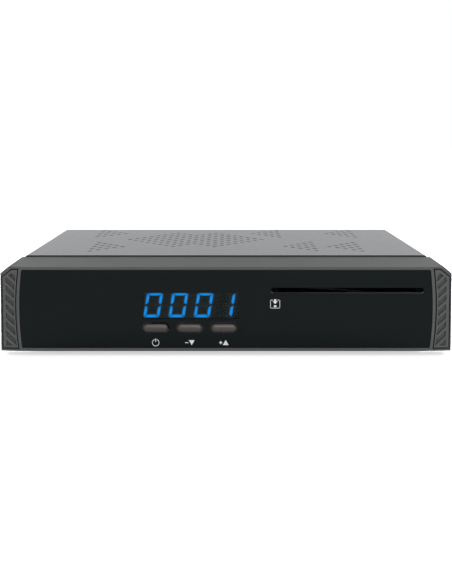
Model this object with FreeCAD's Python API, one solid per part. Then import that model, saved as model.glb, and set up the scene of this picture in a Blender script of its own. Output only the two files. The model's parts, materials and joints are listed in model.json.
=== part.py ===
"""Compact satellite television receiver with a smart card slot.

Millimetres. X runs to the viewer's right, Y away from the viewer and Z up from the floor.
A piece is drawn with Y = 0 on the face of the front panel, and moved on saving so that the
origin is on the floor, in the middle of the whole receiver.
"""
import FreeCAD
import Part
import math
import os

# Flat sides of small round pieces, and flats in a pill's end, a sheet bend, the panel's sweep
# and the shallow bow beside the window
small_sides = 6
round_sides = 12
hex_sides = 6
pill_flats = 6
bend_flats = 3
sweep_flats = 4
side_flats = 8

# Front panel moulding
panel_width = 180.0
panel_bottom = 2.0
panel_height = 33.8
panel_depth = 10.0
panel_rise = 2.9
panel_wall = 2.0
shoulder_drop = 2.6
shoulder_in = 3.2
shoulder_spread = 4.0
sweep_run = 15.0
sweep_back = 1.1

# Textured cheeks let into both ends of the front panel
cheek_land = 0.65
cheek_width = 6.55
cheek_waist = 1.08
cheek_bottom_land = 1.04
cheek_top_land = 0.91
cheek_shoulder_in = 4.0
cheek_shoulder_drop = 3.09
cheek_groove = 0.5
cheek_thickness = 1.4
pocket_rim_outer = 1.5
pocket_rim_top = 1.3
pocket_rim_bottom = 1.1
pocket_rim_inner = 0.85
pocket_pitch = 3.63
pocket_height = 2.07
pocket_slope = 42.5
pocket_depth = 0.7
pocket_first = 2.0

# Dark window
window_strip = 1.35
window_bulge = 0.91
window_bottom_land = 1.28
window_top_land = 1.2
window_recess = 0.4
window_thickness = 1.6
window_gap = 0.1
window_corner = 0.4
backing_wall = 1.6

# Three keys in a row
key_pitch = 13.6
key_row_shift = -0.44
key_row_height = 9.2
key_width = 10.1
key_height = 3.7
key_gap = 0.4
key_lip = 0.4
key_flange = 1.0
key_play = 0.1
key_pocket_gap = 0.2
key_proud = 0.7
key_crown = 0.7
key_crown_depth = 0.55
key_stem_radius = 1.3
key_travel = 0.4
stem_gap = 0.1
guide_thickness = 1.6
guide_margin = 3.0
stake_radius = 0.9
stake_gap = 0.05

# Push switches behind the keys
switch_size = 6.0
switch_height = 3.5
switch_corner = 0.5
plunger_radius = 1.75
plunger_proud = 1.0
plunger_depth = 0.6
plunger_gap = 0.1

# Four figure display
digit_count = 4
digit_pitch = 10.13
display_from_reader = 13.2
units_digit_shift = -1.25
digit_height = 10.1
digit_width = 6.5
segment_width = 1.2
segment_gap = 0.18
segment_thickness = 0.25
digit_slant = 9.5
module_rim = 0.6
module_thickness = 7.0
module_gap = 0.15
view_margin = 0.5

# Display board
front_board_thickness = 1.6
front_board_left = 38.5
front_board_right = 27.0
front_board_low = 4.2
front_board_high = 32.2
front_board_corner = 1.0
boss_radius = 2.6
boss_inset = 3.4
boss_bore = 1.1
eye_from_module = 10.5
eye_width = 6.0
eye_height = 7.0
eye_thickness = 3.0
eye_lens_radius = 2.4
eye_lens_crown = 1.5
eye_lens_reach = 1.9
eye_hole_gap = 0.6

# Card slot and reader
slot_height_z = 24.4
slot_side_room = 3.4
slot_height = 1.9
slot_flare = 0.25
card_width = 54.0
reader_side_gap = 1.2
card_side_gap = 0.3
card_channel = 1.4
reader_wall = 1.7
reader_floor = 1.3
reader_roof = 1.7
reader_length = 56.0
reader_nose_gap = 0.2
reader_funnel = 0.5
reader_funnel_depth = 1.5
reader_cut_gap = 0.3
reader_rib_count = 5
reader_rib_height = 0.6
reader_board_thickness = 1.6
reader_board_front = 15.0
reader_board_tail = 8.0
reader_board_margin = 0.5
contact_rows = 2
contact_columns = 4
contact_pitch = 2.54
contact_row_pitch = 7.62
contact_width = 1.0
contact_length = 5.0
contact_strip = 0.2
contact_foot = 1.5
contact_from_end = 19.0
reader_post_across = 5.0
reader_post_inset_x = 13.0
reader_post_inset_y = 4.0

# Sheet steel case
ear_width = 8.3
case_depth = 121.3
sheet = 0.8
cover_step = 0.6
cover_gap = 0.4
fit_gap = 0.1
bend_radius = 0.2
cover_bottom_gap = 0.4
cover_lip = 7.0
corner_relief = 1.5
tray_flange = 13.0
tray_sink = 1.0
tongue_gap = 0.2
tongue_wall = 1.2
tongue_reach = 3.4
hook_width = 8.0
hook_reach = 5.0
hook_nose = 0.7
hook_nose_length = 2.0
hook_slot_gap = 0.2
floor_hook_x = 45.0
ear_rib_count = 3
ear_rib = 1.2
floor_vent_count = 7
floor_vent_rows = 2
floor_vent_pitch = 8.5
floor_vent_row_pitch = 34.0
floor_vent_length = 18.0
floor_vent_width = 2.4

# Vent holes in the cover, on a lattice whose neighbours lie cornerwise
vent_radius = 1.15
vent_sides = 6
vent_step_x = 3.05
vent_step_y = 4.23
fan_size = 5
diamond_size = 8
diamond_offset = 3
diamond_x = -14.1
diamond_from_edge = 62.6
side_fan_x = 45.2
side_fan_front = 32.0
side_fan_rear = 90.0
side_fan_rear_shift = 4.1
inner_fan_front_x = 26.0
inner_fan_front = 33.5
inner_fan_rear_x = 13.2
inner_fan_rear = 90.0

# Rubber feet
foot_radius = 6.5
foot_tip_radius = 5.6
foot_edge = 0.6
foot_hollow_radius = 3.0
foot_hollow_depth = 0.8
foot_from_side = 16.5
foot_from_front = 8.0
foot_from_rear = 13.0

# Main board
board_thickness = 1.6
board_lift = 5.0
board_side_gap = 3.0
board_front_gap = 4.5
board_rear_gap = 1.6
board_corner = 2.0
board_hole_inset = 5.5
board_hole_clear = 2.0
standoff_radius = 3.0

# Screws
screw_radius = 1.4
screw_hole_gap = 0.2
screw_head_radius = 2.7
screw_head_height = 1.7
screw_crown_radius = 1.9
screw_length = 5.0
small_screw_scale = 0.7
side_screw_from_end = 18.0
side_screw_clear = 0.8
rear_screw_from_side = 11.0

# Parts on the main board
processor_size = 23.0
processor_height = 1.8
processor_x = -24.0
processor_from_coils = 1.1
sink_size = 27.0
sink_base = 1.6
sink_height = 9.0
sink_fins = 8
sink_fin = 1.0
memory_length = 18.0
memory_width = 10.2
memory_height = 1.2
memory_gap = 4.0
crystal_length = 11.0
crystal_width = 4.6
crystal_height = 3.6
capacitor_radius = 4.0
capacitor_height = 11.5
capacitor_count = 4
capacitor_pitch = 10.5
capacitor_foot = 1.2
capacitor_groove = 0.4
capacitor_groove_slope = 0.45
capacitor_top_edge = 0.4
coil_radius = 5.0
coil_waist = 3.2
coil_height = 6.5
coil_flange = 1.3
coil_slope = 0.65
link_pin_count = 10
link_spacing = 2.0
link_pin = 0.5
link_strip_width = 2.5
link_strip_height = 2.5
link_set_back = 0.6
stack_pin_count = 8
stack_spacing = 2.0
stack_width = 4.0

# Sockets along the rear wall, left to right as seen from the front
jack_width = 9.2
jack_height = 11.0
jack_length = 14.0
jack_mouth_radius = 2.9
jack_mouth_depth = 10.0
jack_pin_radius = 1.0
phono_width = 10.4
phono_height = 12.4
phono_length = 12.0
phono_collar = 0.9
phono_radius = 4.15
phono_shell_wall = 0.6
phono_neck_step = 0.25
phono_reach = 8.0
phono_core_hole = 1.6
usb_width = 13.2
usb_height = 5.8
usb_length = 14.0
usb_shell_wall = 0.4
usb_tongue_width = 11.1
usb_tongue = 1.9
usb_tongue_length = 9.0
hdmi_width = 15.0
hdmi_height = 5.5
hdmi_length = 12.0
hdmi_shell_wall = 0.45
hdmi_corner_in = 2.0
hdmi_corner_up = 1.6
hdmi_tongue_width = 10.5
hdmi_tongue = 1.0
hdmi_tongue_length = 7.0
scart_width = 50.0
scart_height = 16.6
scart_length = 21.0
scart_shell_wall = 0.6
scart_trench = 1.2
scart_trench_depth = 11.0
scart_corner = 4.5
scart_slots = 10
scart_slot_pitch = 3.8
scart_slot_width = 1.0
scart_slot_height = 3.6
scart_slot_depth = 9.0
scart_row_rise = 3.4
aerial_radius = 4.76
aerial_wall = 1.3
aerial_thread_depth = 0.25
aerial_flange_radius = 6.0
aerial_flange = 1.0
aerial_reach = 9.0
aerial_side_room = 0.35
aerial_core_set_in = 1.2
aerial_core_hole = 0.6
nut_across = 11.0
nut_thickness = 2.2
nut_gap = 0.05
washer_radius = 6.2
washer_thickness = 0.5
socket_cut_gap = 0.3
socket_proud = 0.6
tuner_height = 11.6
tuner_length = 42.0
tuner_side_margin = 1.6
tuner_wall = 0.5
tuner_slots = 4
tuner_slot_width = 2.0
tuner_slot_length = 14.0
tuner_slot_pitch = 7.0

# Worked out places
overrun = 1.0
panel_half = panel_width / 2
panel_top = panel_bottom + panel_height
panel_rear_top = panel_top + panel_rise
cover_top = panel_rear_top + cover_step
cover_front = panel_depth + cover_gap
cover_half = panel_half - ear_width
cover_under = cover_top - sheet
tray_half = cover_half - sheet - fit_gap
tray_inner = tray_half - sheet
tray_floor = panel_bottom + tray_sink
tray_inside = tray_floor + sheet
tray_rear = case_depth - sheet - fit_gap
tray_rear_inside = tray_rear - sheet
cover_skirt = tray_floor + cover_bottom_gap

window_front = window_recess
window_back = window_recess + window_thickness
backing_back = window_back + backing_wall
cheek_outer = panel_half - cheek_land
cheek_inner = cheek_outer - cheek_width
window_end_half = cheek_inner - window_strip
window_low = panel_bottom + window_bottom_land
window_high = panel_top - window_top_land

slot_z = panel_bottom + slot_height_z
slot_width = card_width + 2 * slot_side_room
reader_width = card_width + 2 * card_side_gap + 2 * reader_wall
reader_right = tray_inner - tongue_gap - tongue_wall - reader_side_gap
slot_centre_x = reader_right - reader_width / 2
module_width = digit_count * digit_pitch
module_x = reader_right - reader_width - display_from_reader - module_width / 2
first_digit_x = module_x - (digit_count - 1) / 2 * digit_pitch

key_z = panel_bottom + key_row_height
key_row_x = module_x + key_row_shift
key_centres = [key_row_x + (i - 1) * key_pitch for i in range(3)]
key_front = window_front - key_proud
flange_front = window_back + key_play
guide_back = backing_back + guide_thickness
guide_top = key_z + switch_size / 2
module_height = digit_height + 2 * module_rim
module_z = guide_top + module_gap + module_height / 2
module_front = backing_back + module_gap
front_board_face = module_front + module_thickness
front_board_back = front_board_face + front_board_thickness
switch_face = front_board_face - switch_height
plunger_tip = switch_face - plunger_proud
eye_x = module_x - module_width / 2 - eye_from_module

reader_low = slot_z - card_channel / 2 - reader_floor
reader_high = slot_z + card_channel / 2 + reader_roof
reader_front = window_back + reader_nose_gap
reader_back = reader_front + reader_length
reader_board_low = reader_low - reader_board_thickness
reader_board_back = reader_back + reader_board_tail
reader_board_half = reader_width / 2 + reader_board_margin

board_low = tray_inside + board_lift
board_top = board_low + board_thickness
board_half = tray_inner - board_side_gap
board_front = cover_front + board_front_gap
board_back = tray_rear_inside - board_rear_gap

aerial_width = 2 * (aerial_flange_radius + aerial_side_room)
rear_row = [
    ("jack", jack_width),
    ("phono", phono_width),
    ("usb", usb_width),
    ("hdmi", hdmi_width),
    ("scart", scart_width),
    ("loop", aerial_width),
    ("lnb", aerial_width),
]
rear_gap = (2 * tray_inner - sum(width for name, width in rear_row)) / (len(rear_row) + 1)
aerial_z = board_top + tuner_height / 2
aerial_tip = case_depth + aerial_reach
aerial_neck = aerial_radius - aerial_thread_depth
nut_end = tray_rear + washer_thickness + nut_thickness
front_most = min(key_front, 0.0)
middle_y = (front_most + aerial_tip) / 2


def socket_places():
    """Centre X of each rear socket, spread with equal gaps along the wall."""
    places = {}
    left = -tray_inner
    for name, width in rear_row:
        left += rear_gap
        places[name] = left + width / 2
        left += width
    return places


socket_x = socket_places()


# Helpers

def vec(x, y, z):
    return FreeCAD.Vector(x, y, z)


def box(x0, x1, y0, y1, z0, z1):
    return Part.makeBox(x1 - x0, y1 - y0, z1 - z0, vec(x0, y0, z0))


def rod(radius, x, z, y0, y1):
    """True round along Y."""
    return Part.makeCylinder(radius, y1 - y0, vec(x, y0, z), vec(0, 1, 0))


def facet_ring(radius, height, sides, bore=False):
    """Level ring with flat sides: its corners on the radius, or its flats for a bore."""
    reach = radius / math.cos(math.pi / sides) if bore else radius
    angles = [2 * math.pi * (i + 0.5) / sides for i in range(sides)]
    return [vec(reach * math.cos(a), reach * math.sin(a), height) for a in angles]


def stand(shape, base, axis):
    """Turn a shape drawn along Z to an axis, and move its origin to base."""
    shape.Placement = FreeCAD.Placement(base, FreeCAD.Rotation(vec(0, 0, 1), axis))
    return shape


def pin_y(radius, x, z, y0, y1, sides=small_sides, bore=False):
    """Small round along Y, drawn with flat sides."""
    shape = Part.Face(closed(facet_ring(radius, 0, sides, bore))).extrude(vec(0, 0, y1 - y0))
    return stand(shape, vec(x, y0, z), vec(0, 1, 0))


def bore_y(radius, x, z, y0, y1, sides=small_sides):
    return pin_y(radius, x, z, y0, y1, sides, True)


def pin_z(radius, x, y, z0, z1, sides=small_sides, bore=False):
    """Small round along Z, drawn with flat sides."""
    shape = Part.Face(closed(facet_ring(radius, 0, sides, bore))).extrude(vec(0, 0, z1 - z0))
    return stand(shape, vec(x, y, z0), vec(0, 0, 1))


def bore_z(radius, x, y, z0, z1, sides=small_sides):
    return pin_z(radius, x, y, z0, z1, sides, True)


def closed(points):
    return Part.makePolygon(points + points[:1])


def outline(points, y=0.0):
    """Closed wire through (x, z) points at depth y."""
    return closed([vec(x, y, z) for x, z in points])


def prism(wire, y0, y1):
    """Solid from an upright outline, between two depths."""
    shape = Part.Face(wire).extrude(vec(0, y1 - y0, 0))
    shape.translate(vec(0, y0, 0))
    return shape


def between(first, second):
    """Solid between two rings with as many corners, whose matching edges are parallel."""
    faces = [Part.Face(closed(first)), Part.Face(closed(second))]
    for i in range(len(first)):
        j = (i + 1) % len(first)
        faces.append(Part.Face(closed([first[i], first[j], second[j], second[i]])))
    solid = Part.makeSolid(Part.makeShell(faces))
    if solid.Volume < 0:
        solid.reverse()
    return solid


def bow(start, middle, end, flats):
    """Points of a shallow arc, without its end."""
    arc = Part.Arc(start, middle, end).toShape()
    return arc.discretize(Number=int(flats) + 1)[:-1]


def pill_points(width, height, x, z):
    """Slot outline along X, with each half-round end drawn in short flats."""
    r = height / 2
    run = width / 2 - r
    points = []
    for side in (1, -1):
        for i in range(pill_flats + 1):
            angle = math.pi * (i / pill_flats - 0.5)
            points.append((x + side * (run + r * math.cos(angle)), z + side * r * math.sin(angle)))
    return points


def pill(width, height, x, z, y0, y1):
    return prism(outline(pill_points(width, height, x, z)), y0, y1)


def tapered_pill(width, height, inset, x, z, y0, y1):
    """Pill that is inset all round at its first depth."""
    small = pill_points(width - 2 * inset, height - 2 * inset, x, z)
    large = pill_points(width, height, x, z)
    return between([vec(px, y0, pz) for px, pz in small], [vec(px, y1, pz) for px, pz in large])


def edges_along(shape, axis, test):
    """Straight edges along an axis whose middle passes the test."""
    found = []
    for edge in shape.Edges:
        if len(edge.Vertexes) < 2:
            continue
        start, end = edge.Vertexes[0].Point, edge.Vertexes[-1].Point
        run = end.sub(start)
        if run.Length < 1e-6 or abs(abs(run.dot(axis)) - run.Length) > 1e-6:
            continue
        middle = start.add(end).multiply(0.5)
        if test(middle):
            found.append(edge)
    return found


def bevel_corners(shape, size, axis=None):
    """Cut every straight edge along an axis."""
    axis = axis or vec(0, 1, 0)
    return shape.makeChamfer(size, edges_along(shape, axis, lambda point: True))


def mirrored(shape):
    return shape.mirror(vec(0, 0, 0), vec(1, 0, 0))


def join(first, *others):
    return first.fuse(list(others)).removeSplitter()


def turned(profile, base, axis, sides):
    """Round body with flat sides from (radius, height) rings, standing on base along axis."""
    parts = []
    for (r0, h0), (r1, h1) in zip(profile, profile[1:]):
        if h1 > h0:
            parts.append(between(facet_ring(r0, h0, sides), facet_ring(r1, h1, sides)))
    body = parts[0] if len(parts) == 1 else join(*parts)
    return stand(body, base, axis)


def one(shape):
    """The single solid of a shape, or all of its solids together."""
    solids = shape.Solids
    return solids[0] if len(solids) == 1 else Part.makeCompound(solids)


def save(name, *shapes):
    """Write a node, moved so that the origin is in the middle of the receiver."""
    solids = [solid for shape in shapes for solid in shape.Solids]
    moved = one(Part.makeCompound(solids)).copy()
    moved.translate(vec(0, -middle_y, 0))
    moved.exportStep(os.path.join("parts", name + ".step"))


# Front panel

def panel_section(depth, inset=0.0):
    """Ring of the panel's outline at a depth, with shoulders that spread to the rear."""
    share = depth / panel_depth
    half = panel_half
    top = panel_top + panel_rise * share
    run = shoulder_in + shoulder_spread * share
    drop = shoulder_drop * run / shoulder_in
    length = math.hypot(run, drop)
    along_side = inset * (1 - drop / length) / run
    side_z = top - drop - run * inset / length + drop * along_side
    along_top = (drop - inset + run * inset / length) / drop
    top_x = half - drop * inset / length - run * along_top
    right = [(half - inset, panel_bottom + inset), (half - inset, side_z), (top_x, top - inset)]
    left = [(-x, z) for x, z in reversed(right)]
    return [vec(x, depth, z) for x, z in right + left]


def swept_block(y0, y1):
    """From the panel's swept front, moved back by y0, to a flat end that is y1 behind its corners."""
    radius = (sweep_run ** 2 + sweep_back ** 2) / (2 * sweep_back)
    half_run = sweep_run / 2
    middle_back = radius - math.sqrt(radius ** 2 - half_run ** 2)
    flat = panel_half - sweep_run
    end = vec(panel_half, sweep_back, 0)
    halfway = vec(flat + half_run, middle_back, 0)
    right = bow(end, halfway, vec(flat, 0, 0), sweep_flats) + [vec(flat, 0, 0)]
    left = [vec(-point.x, point.y, 0) for point in reversed(right)]
    back = sweep_back + y1 - y0
    block = Part.Face(closed(right + left + [vec(-panel_half, back, 0), vec(panel_half, back, 0)]))
    block.translate(vec(0, y0, 0))
    return block.extrude(vec(0, 0, cover_top))


def cheek_wire(outer, top, bottom, inner):
    """Outline of the right cheek, inset from its nominal edge by four rims."""
    x_out = cheek_outer - outer
    x_in = cheek_inner + inner
    low = panel_bottom + cheek_bottom_land + bottom
    high = panel_top - cheek_top_land - top
    slope = cheek_shoulder_drop / cheek_shoulder_in
    shift = top * math.sqrt(1 + slope ** 2)
    shoulder_low = panel_top - cheek_top_land - cheek_shoulder_drop + outer * slope - shift
    shoulder_x = x_out - (high - shoulder_low) / slope
    middle = (low + high) / 2
    straight = [(x_in, low), (x_out, low), (x_out, shoulder_low), (shoulder_x, high)]
    waist = bow(vec(x_in, 0, high), vec(x_in + cheek_waist, 0, middle), vec(x_in, 0, low), side_flats)
    return closed([vec(x, 0, z) for x, z in straight] + waist)


def pocket_bars():
    """Slanting bars, falling towards the middle of the panel, that cut the cheek's pockets."""
    bars = []
    run = cheek_width + 2 * overrun
    fall = run * math.tan(math.radians(pocket_slope))
    x_out = cheek_outer + overrun
    top = panel_top + pocket_first
    while top > panel_bottom:
        corners = [
            (x_out, top),
            (x_out, top - pocket_height),
            (x_out - run, top - pocket_height - fall),
            (x_out - run, top - fall),
        ]
        bars.append(prism(outline(corners), -overrun, sweep_back + pocket_depth + overrun))
        top -= pocket_pitch
    return bars


def make_cheek():
    """Right cheek: a thin insert with slanting pockets, following the swept front."""
    half_groove = cheek_groove / 2
    edge = cheek_wire(half_groove, half_groove, half_groove, half_groove)
    blank = prism(edge, -overrun, panel_depth).common(swept_block(0, cheek_thickness))
    field = cheek_wire(pocket_rim_outer, pocket_rim_top, pocket_rim_bottom, pocket_rim_inner)
    cutter = prism(field, -overrun, panel_depth).common(swept_block(-overrun, pocket_depth))
    pockets = cutter.common(Part.makeCompound(pocket_bars()))
    return blank.cut(pockets)


def window_blank(grow, y0, y1):
    """Window shape with softly bulging ends, grown all round."""
    end = window_end_half + grow
    middle = end + window_bulge
    low = window_low - grow
    high = window_high + grow
    centre = (low + high) / 2
    low_right = vec(end - window_corner, 0, low)
    high_right = vec(end - window_corner, 0, high)
    low_end = vec(end, 0, low + window_corner)
    high_end = vec(end, 0, high - window_corner)
    bulge = bow(low_end, vec(middle, 0, centre), high_end, side_flats)
    right = [low_right] + bulge + [high_end, high_right]
    left = [vec(-point.x, 0, point.z) for point in reversed(right)]
    return prism(closed(right + left), y0, y1)


def key_holes(grow, y0, y1):
    width = key_width + 2 * grow
    height = key_height + 2 * grow
    return [pill(width, height, x, key_z, y0, y1) for x in key_centres]


def stake_places():
    first = key_row_x - key_pitch / 2
    return [first, first + key_pitch]


def boss_places():
    """Four screw places on the display board."""
    left = module_x - front_board_left + boss_inset
    right = module_x + front_board_right - boss_inset
    low = panel_bottom + front_board_low + boss_inset
    high = panel_bottom + front_board_high - boss_inset
    return [(x, z) for x in (left, right) for z in (low, high)]


def tongue_ring(y0, y1):
    """Wall of the panel that reaches inside the steel case."""
    half = tray_inner - tongue_gap
    low = tray_inside + tongue_gap
    high = cover_under - tongue_gap
    wall = tongue_wall
    outer = box(-half, half, y0, y1, low, high)
    inner = box(-half + wall, half - wall, y0 - overrun, y1 + overrun, low + wall, high - wall)
    return outer.cut(inner)


def hook_span():
    """Start and end depth of a hook's arm and of its nose."""
    root = panel_depth + tongue_reach
    tip = root + hook_reach
    return root, tip - hook_nose_length, tip


def side_hook():
    """Springy hook on the right side, with a sloped nose that snaps into the tray's wall."""
    root, nose, tip = hook_span()
    face = tray_inner - tongue_gap
    low = tray_inside + tongue_gap + tongue_wall
    profile = [
        vec(face - tongue_wall, root - overrun, low),
        vec(face, root - overrun, low),
        vec(face, nose, low),
        vec(face + hook_nose + tongue_gap, nose, low),
        vec(face, tip, low),
        vec(face - tongue_wall, tip, low),
    ]
    return Part.Face(Part.makePolygon(profile + profile[:1])).extrude(vec(0, 0, hook_width))


def floor_hook(x):
    """Springy hook on the tray's floor, with its nose pointing down."""
    root, nose, tip = hook_span()
    face = tray_inside + tongue_gap
    left = x - hook_width / 2
    profile = [
        vec(left, root - overrun, face + tongue_wall),
        vec(left, root - overrun, face),
        vec(left, nose, face),
        vec(left, nose, face - hook_nose - tongue_gap),
        vec(left, tip, face),
        vec(left, tip, face + tongue_wall),
    ]
    return Part.Face(Part.makePolygon(profile + profile[:1])).extrude(vec(hook_width, 0, 0))


def ear_ribs():
    """Level ribs that tie the panel's outer walls to the tongue."""
    ribs = []
    inner = tray_inner - tongue_gap - tongue_wall / 2
    outer = panel_half - panel_wall / 2
    step = (panel_top - shoulder_drop - panel_bottom) / (ear_rib_count + 1)
    for i in range(ear_rib_count):
        z = panel_bottom + step * (i + 1)
        rib = box(inner, outer, backing_back - overrun / 2, panel_depth, z - ear_rib / 2, z + ear_rib / 2)
        ribs += [rib, mirrored(rib)]
    return ribs


def panel_shell():
    """Outer skin of the front panel, open to the rear."""
    outer = between(panel_section(0), panel_section(panel_depth))
    skin = outer.common(swept_block(0, panel_depth))
    reach = panel_depth + overrun
    hollow = between(panel_section(backing_back, panel_wall), panel_section(reach, panel_wall))
    return outer, skin.cut(hollow)


def backing_cuts():
    """Openings through the wall that the window is bonded to."""
    deep = backing_back + overrun
    view_x0 = module_x - module_width / 2 + view_margin
    view_x1 = module_x + module_width / 2 - view_margin
    view_z = digit_height / 2 + view_margin
    reader_half = reader_width / 2 + reader_cut_gap
    cuts = key_holes(key_gap + key_lip + key_pocket_gap, 0, deep)
    cuts.append(box(view_x0, view_x1, 0, deep, module_z - view_z, module_z + view_z))
    cuts.append(bore_y(eye_lens_radius + eye_hole_gap, eye_x, module_z, 0, deep, round_sides))
    cuts.append(box(
        slot_centre_x - reader_half, slot_centre_x + reader_half, 0, deep,
        reader_low - reader_cut_gap, reader_high + reader_cut_gap))
    return cuts


def make_front_bezel():
    outer, shell = panel_shell()
    shell = shell.cut([window_blank(window_gap, -overrun, window_back)] + backing_cuts())
    half_groove = cheek_groove / 2
    seat = prism(cheek_wire(-half_groove, -half_groove, -half_groove, -half_groove), -overrun, panel_depth)
    seat = seat.common(swept_block(-overrun, cheek_thickness))
    shell = shell.cut([seat, mirrored(seat)])
    inside_ring = tongue_ring(backing_back - overrun / 2, panel_depth).common(outer)
    reader_half = reader_width / 2 + reader_cut_gap
    adds = [inside_ring, tongue_ring(panel_depth, panel_depth + tongue_reach)]
    adds += [side_hook(), mirrored(side_hook()), floor_hook(-floor_hook_x), floor_hook(floor_hook_x)]
    adds += ear_ribs()
    for x, z in boss_places():
        adds.append(pin_y(boss_radius, x, z, backing_back - overrun / 2, front_board_face))
    for x in stake_places():
        adds.append(pin_y(stake_radius, x, key_z, backing_back - overrun / 2, guide_back))
    bezel = join(shell, *adds)
    bores = [bore_y(boss_bore, x, z, backing_back, front_board_face + overrun) for x, z in boss_places()]
    bores.append(box(
        slot_centre_x - reader_half, slot_centre_x + reader_half, backing_back, panel_depth,
        reader_low - reader_cut_gap, reader_high + reader_cut_gap))
    return bezel.cut(bores)


def make_window():
    blank = window_blank(0, window_front, window_back)
    wide = slot_width + 2 * slot_flare
    tall = slot_height + 2 * slot_flare
    slot_face = window_front + slot_flare
    flared = prism(outline(pill_points(wide, tall, slot_centre_x, slot_z)), window_front, slot_face)
    slot = pill(slot_width, slot_height, slot_centre_x, slot_z, window_front, window_back + overrun)
    return blank.cut(key_holes(key_gap, 0, window_back + overrun) + [slot, flared])


# Keys, switches and display

def make_key(x):
    """Key cap with a bevelled face, retaining flange and push stem."""
    crown_back = key_front + key_crown_depth
    crown = tapered_pill(key_width, key_height, key_crown, x, key_z, key_front, crown_back)
    cap = pill(key_width, key_height, x, key_z, crown_back, flange_front)
    lip = 2 * (key_gap + key_lip)
    flange = pill(key_width + lip, key_height + lip, x, key_z, flange_front, flange_front + key_flange)
    stem = pin_y(key_stem_radius, x, key_z, flange_front + key_flange, plunger_tip)
    return join(crown, cap, flange, stem)


def make_key_guide():
    """Strip that guides the key stems, held by two stakes of the panel."""
    half = key_pitch + key_width / 2 + guide_margin / 2
    low = key_z - switch_size / 2
    strip = box(key_row_x - half, key_row_x + half, backing_back, guide_back, low, guide_top)
    cuts = [bore_y(key_stem_radius + stem_gap, x, key_z, 0, panel_depth) for x in key_centres]
    cuts += [bore_y(stake_radius + stake_gap, x, key_z, 0, panel_depth) for x in stake_places()]
    return strip.cut(cuts)


def make_switch(x):
    """Body of a push switch, with a blind round well for its plunger."""
    half = switch_size / 2
    body = box(x - half, x + half, switch_face, front_board_face, key_z - half, key_z + half)
    well = plunger_depth + key_travel + plunger_gap
    return body.cut(bore_y(plunger_radius + plunger_gap, x, key_z, switch_face - overrun, switch_face + well))


def make_plunger(x):
    return pin_y(plunger_radius, x, key_z, plunger_tip, switch_face + plunger_depth)


def make_front_board():
    left = module_x - front_board_left
    right = module_x + front_board_right
    low = panel_bottom + front_board_low
    high = panel_bottom + front_board_high
    board = box(left, right, front_board_face, front_board_back, low, high)
    board = bevel_corners(board, front_board_corner)
    hole = boss_bore + screw_hole_gap
    return board.cut([bore_y(hole, x, z, 0, cover_front + panel_depth) for x, z in boss_places()])


def segment_wire(x0, z0, x1, z1):
    """Six-sided bar between two corners of a figure, with mitred ends."""
    length = math.hypot(x1 - x0, z1 - z0)
    ux, uz = (x1 - x0) / length, (z1 - z0) / length
    half = segment_width / 2
    near, far = segment_gap, length - segment_gap
    upper = [(near, 0), (near + half, half), (far - half, half)]
    lower = [(far, 0), (far - half, -half), (near + half, -half)]
    profile = upper + lower
    return [(x0 + ux * a - uz * b, z0 + uz * a + ux * b) for a, b in profile]


def figure_bars(x, lit):
    """Lit or dark bars of one slanted figure centred on x."""
    w = (digit_width - segment_width) / 2
    h = (digit_height - segment_width) / 2
    corners = {
        "a": (-w, h, w, h), "b": (w, h, w, 0), "c": (w, 0, w, -h), "d": (-w, -h, w, -h),
        "e": (-w, 0, -w, -h), "f": (-w, h, -w, 0), "g": (-w, 0, w, 0),
    }
    lean = math.tan(math.radians(digit_slant))
    face = module_front - segment_thickness
    bars = []
    for name in lit:
        points = segment_wire(*corners[name])
        slanted = [(x + px + pz * lean, module_z + pz) for px, pz in points]
        bars.append(prism(outline(slanted), face, module_front))
    return bars


def shown_figures():
    """Bars that are lit for the channel number 0001, figure by figure."""
    return ["abcdef", "abcdef", "abcdef", "bc"]


def figure_centres():
    centres = [first_digit_x + i * digit_pitch for i in range(digit_count)]
    centres[-1] += units_digit_shift
    return centres


def make_bars(want_lit):
    bars = []
    for x, lit in zip(figure_centres(), shown_figures()):
        names = [name for name in "abcdefg" if (name in lit) == want_lit]
        bars += figure_bars(x, names)
    return bars


def make_module():
    half = module_width / 2
    low = module_z - module_height / 2
    high = module_z + module_height / 2
    module = box(module_x - half, module_x + half, module_front, front_board_face, low, high)
    return bevel_corners(module, switch_corner)


def make_eye():
    """Remote control receiver: a small block with a round lens on its face."""
    half = eye_width / 2
    low = module_z - eye_height / 2
    back = front_board_face
    face = back - eye_thickness
    body = box(eye_x - half, eye_x + half, face, back, low, low + eye_height)
    lens = [(eye_lens_radius, 0), (eye_lens_crown, eye_lens_reach)]
    dome = turned(lens, vec(eye_x, face, module_z), vec(0, -1, 0), round_sides)
    return join(bevel_corners(body, switch_corner), dome)


# Card reader

def make_reader():
    """Card guide: a flat channel with a funnel mouth, ribbed roof and contact window."""
    half = reader_width / 2
    x = slot_centre_x
    body = box(x - half, x + half, reader_front, reader_back, reader_low, reader_high)
    for i in range(reader_rib_count):
        y = reader_board_front + (i + 0.5) * (reader_back - reader_board_front) / reader_rib_count
        rib = box(x - half, x + half, y, y + reader_wall, reader_high, reader_high + reader_rib_height)
        body = body.fuse(rib)
    room = card_width / 2 + card_side_gap
    tall = card_channel / 2
    deep = reader_back - reader_wall
    channel = box(x - room, x + room, reader_front - overrun, deep, slot_z - tall, slot_z + tall)
    grow = reader_funnel
    wide = rectangle(2 * (room + grow), 2 * (tall + grow), x, slot_z - tall - grow)
    narrow = rectangle(2 * room, 2 * tall, x, slot_z - tall)
    inside = reader_front + reader_funnel_depth
    funnel = between([vec(a, reader_front, b) for a, b in wide], [vec(a, inside, b) for a, b in narrow])
    y, run_x, run_y = contact_window()
    window = box(x - run_x, x + run_x, y - run_y, y + run_y, reader_low - overrun, slot_z)
    return body.removeSplitter().cut([channel, funnel, window])


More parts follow.
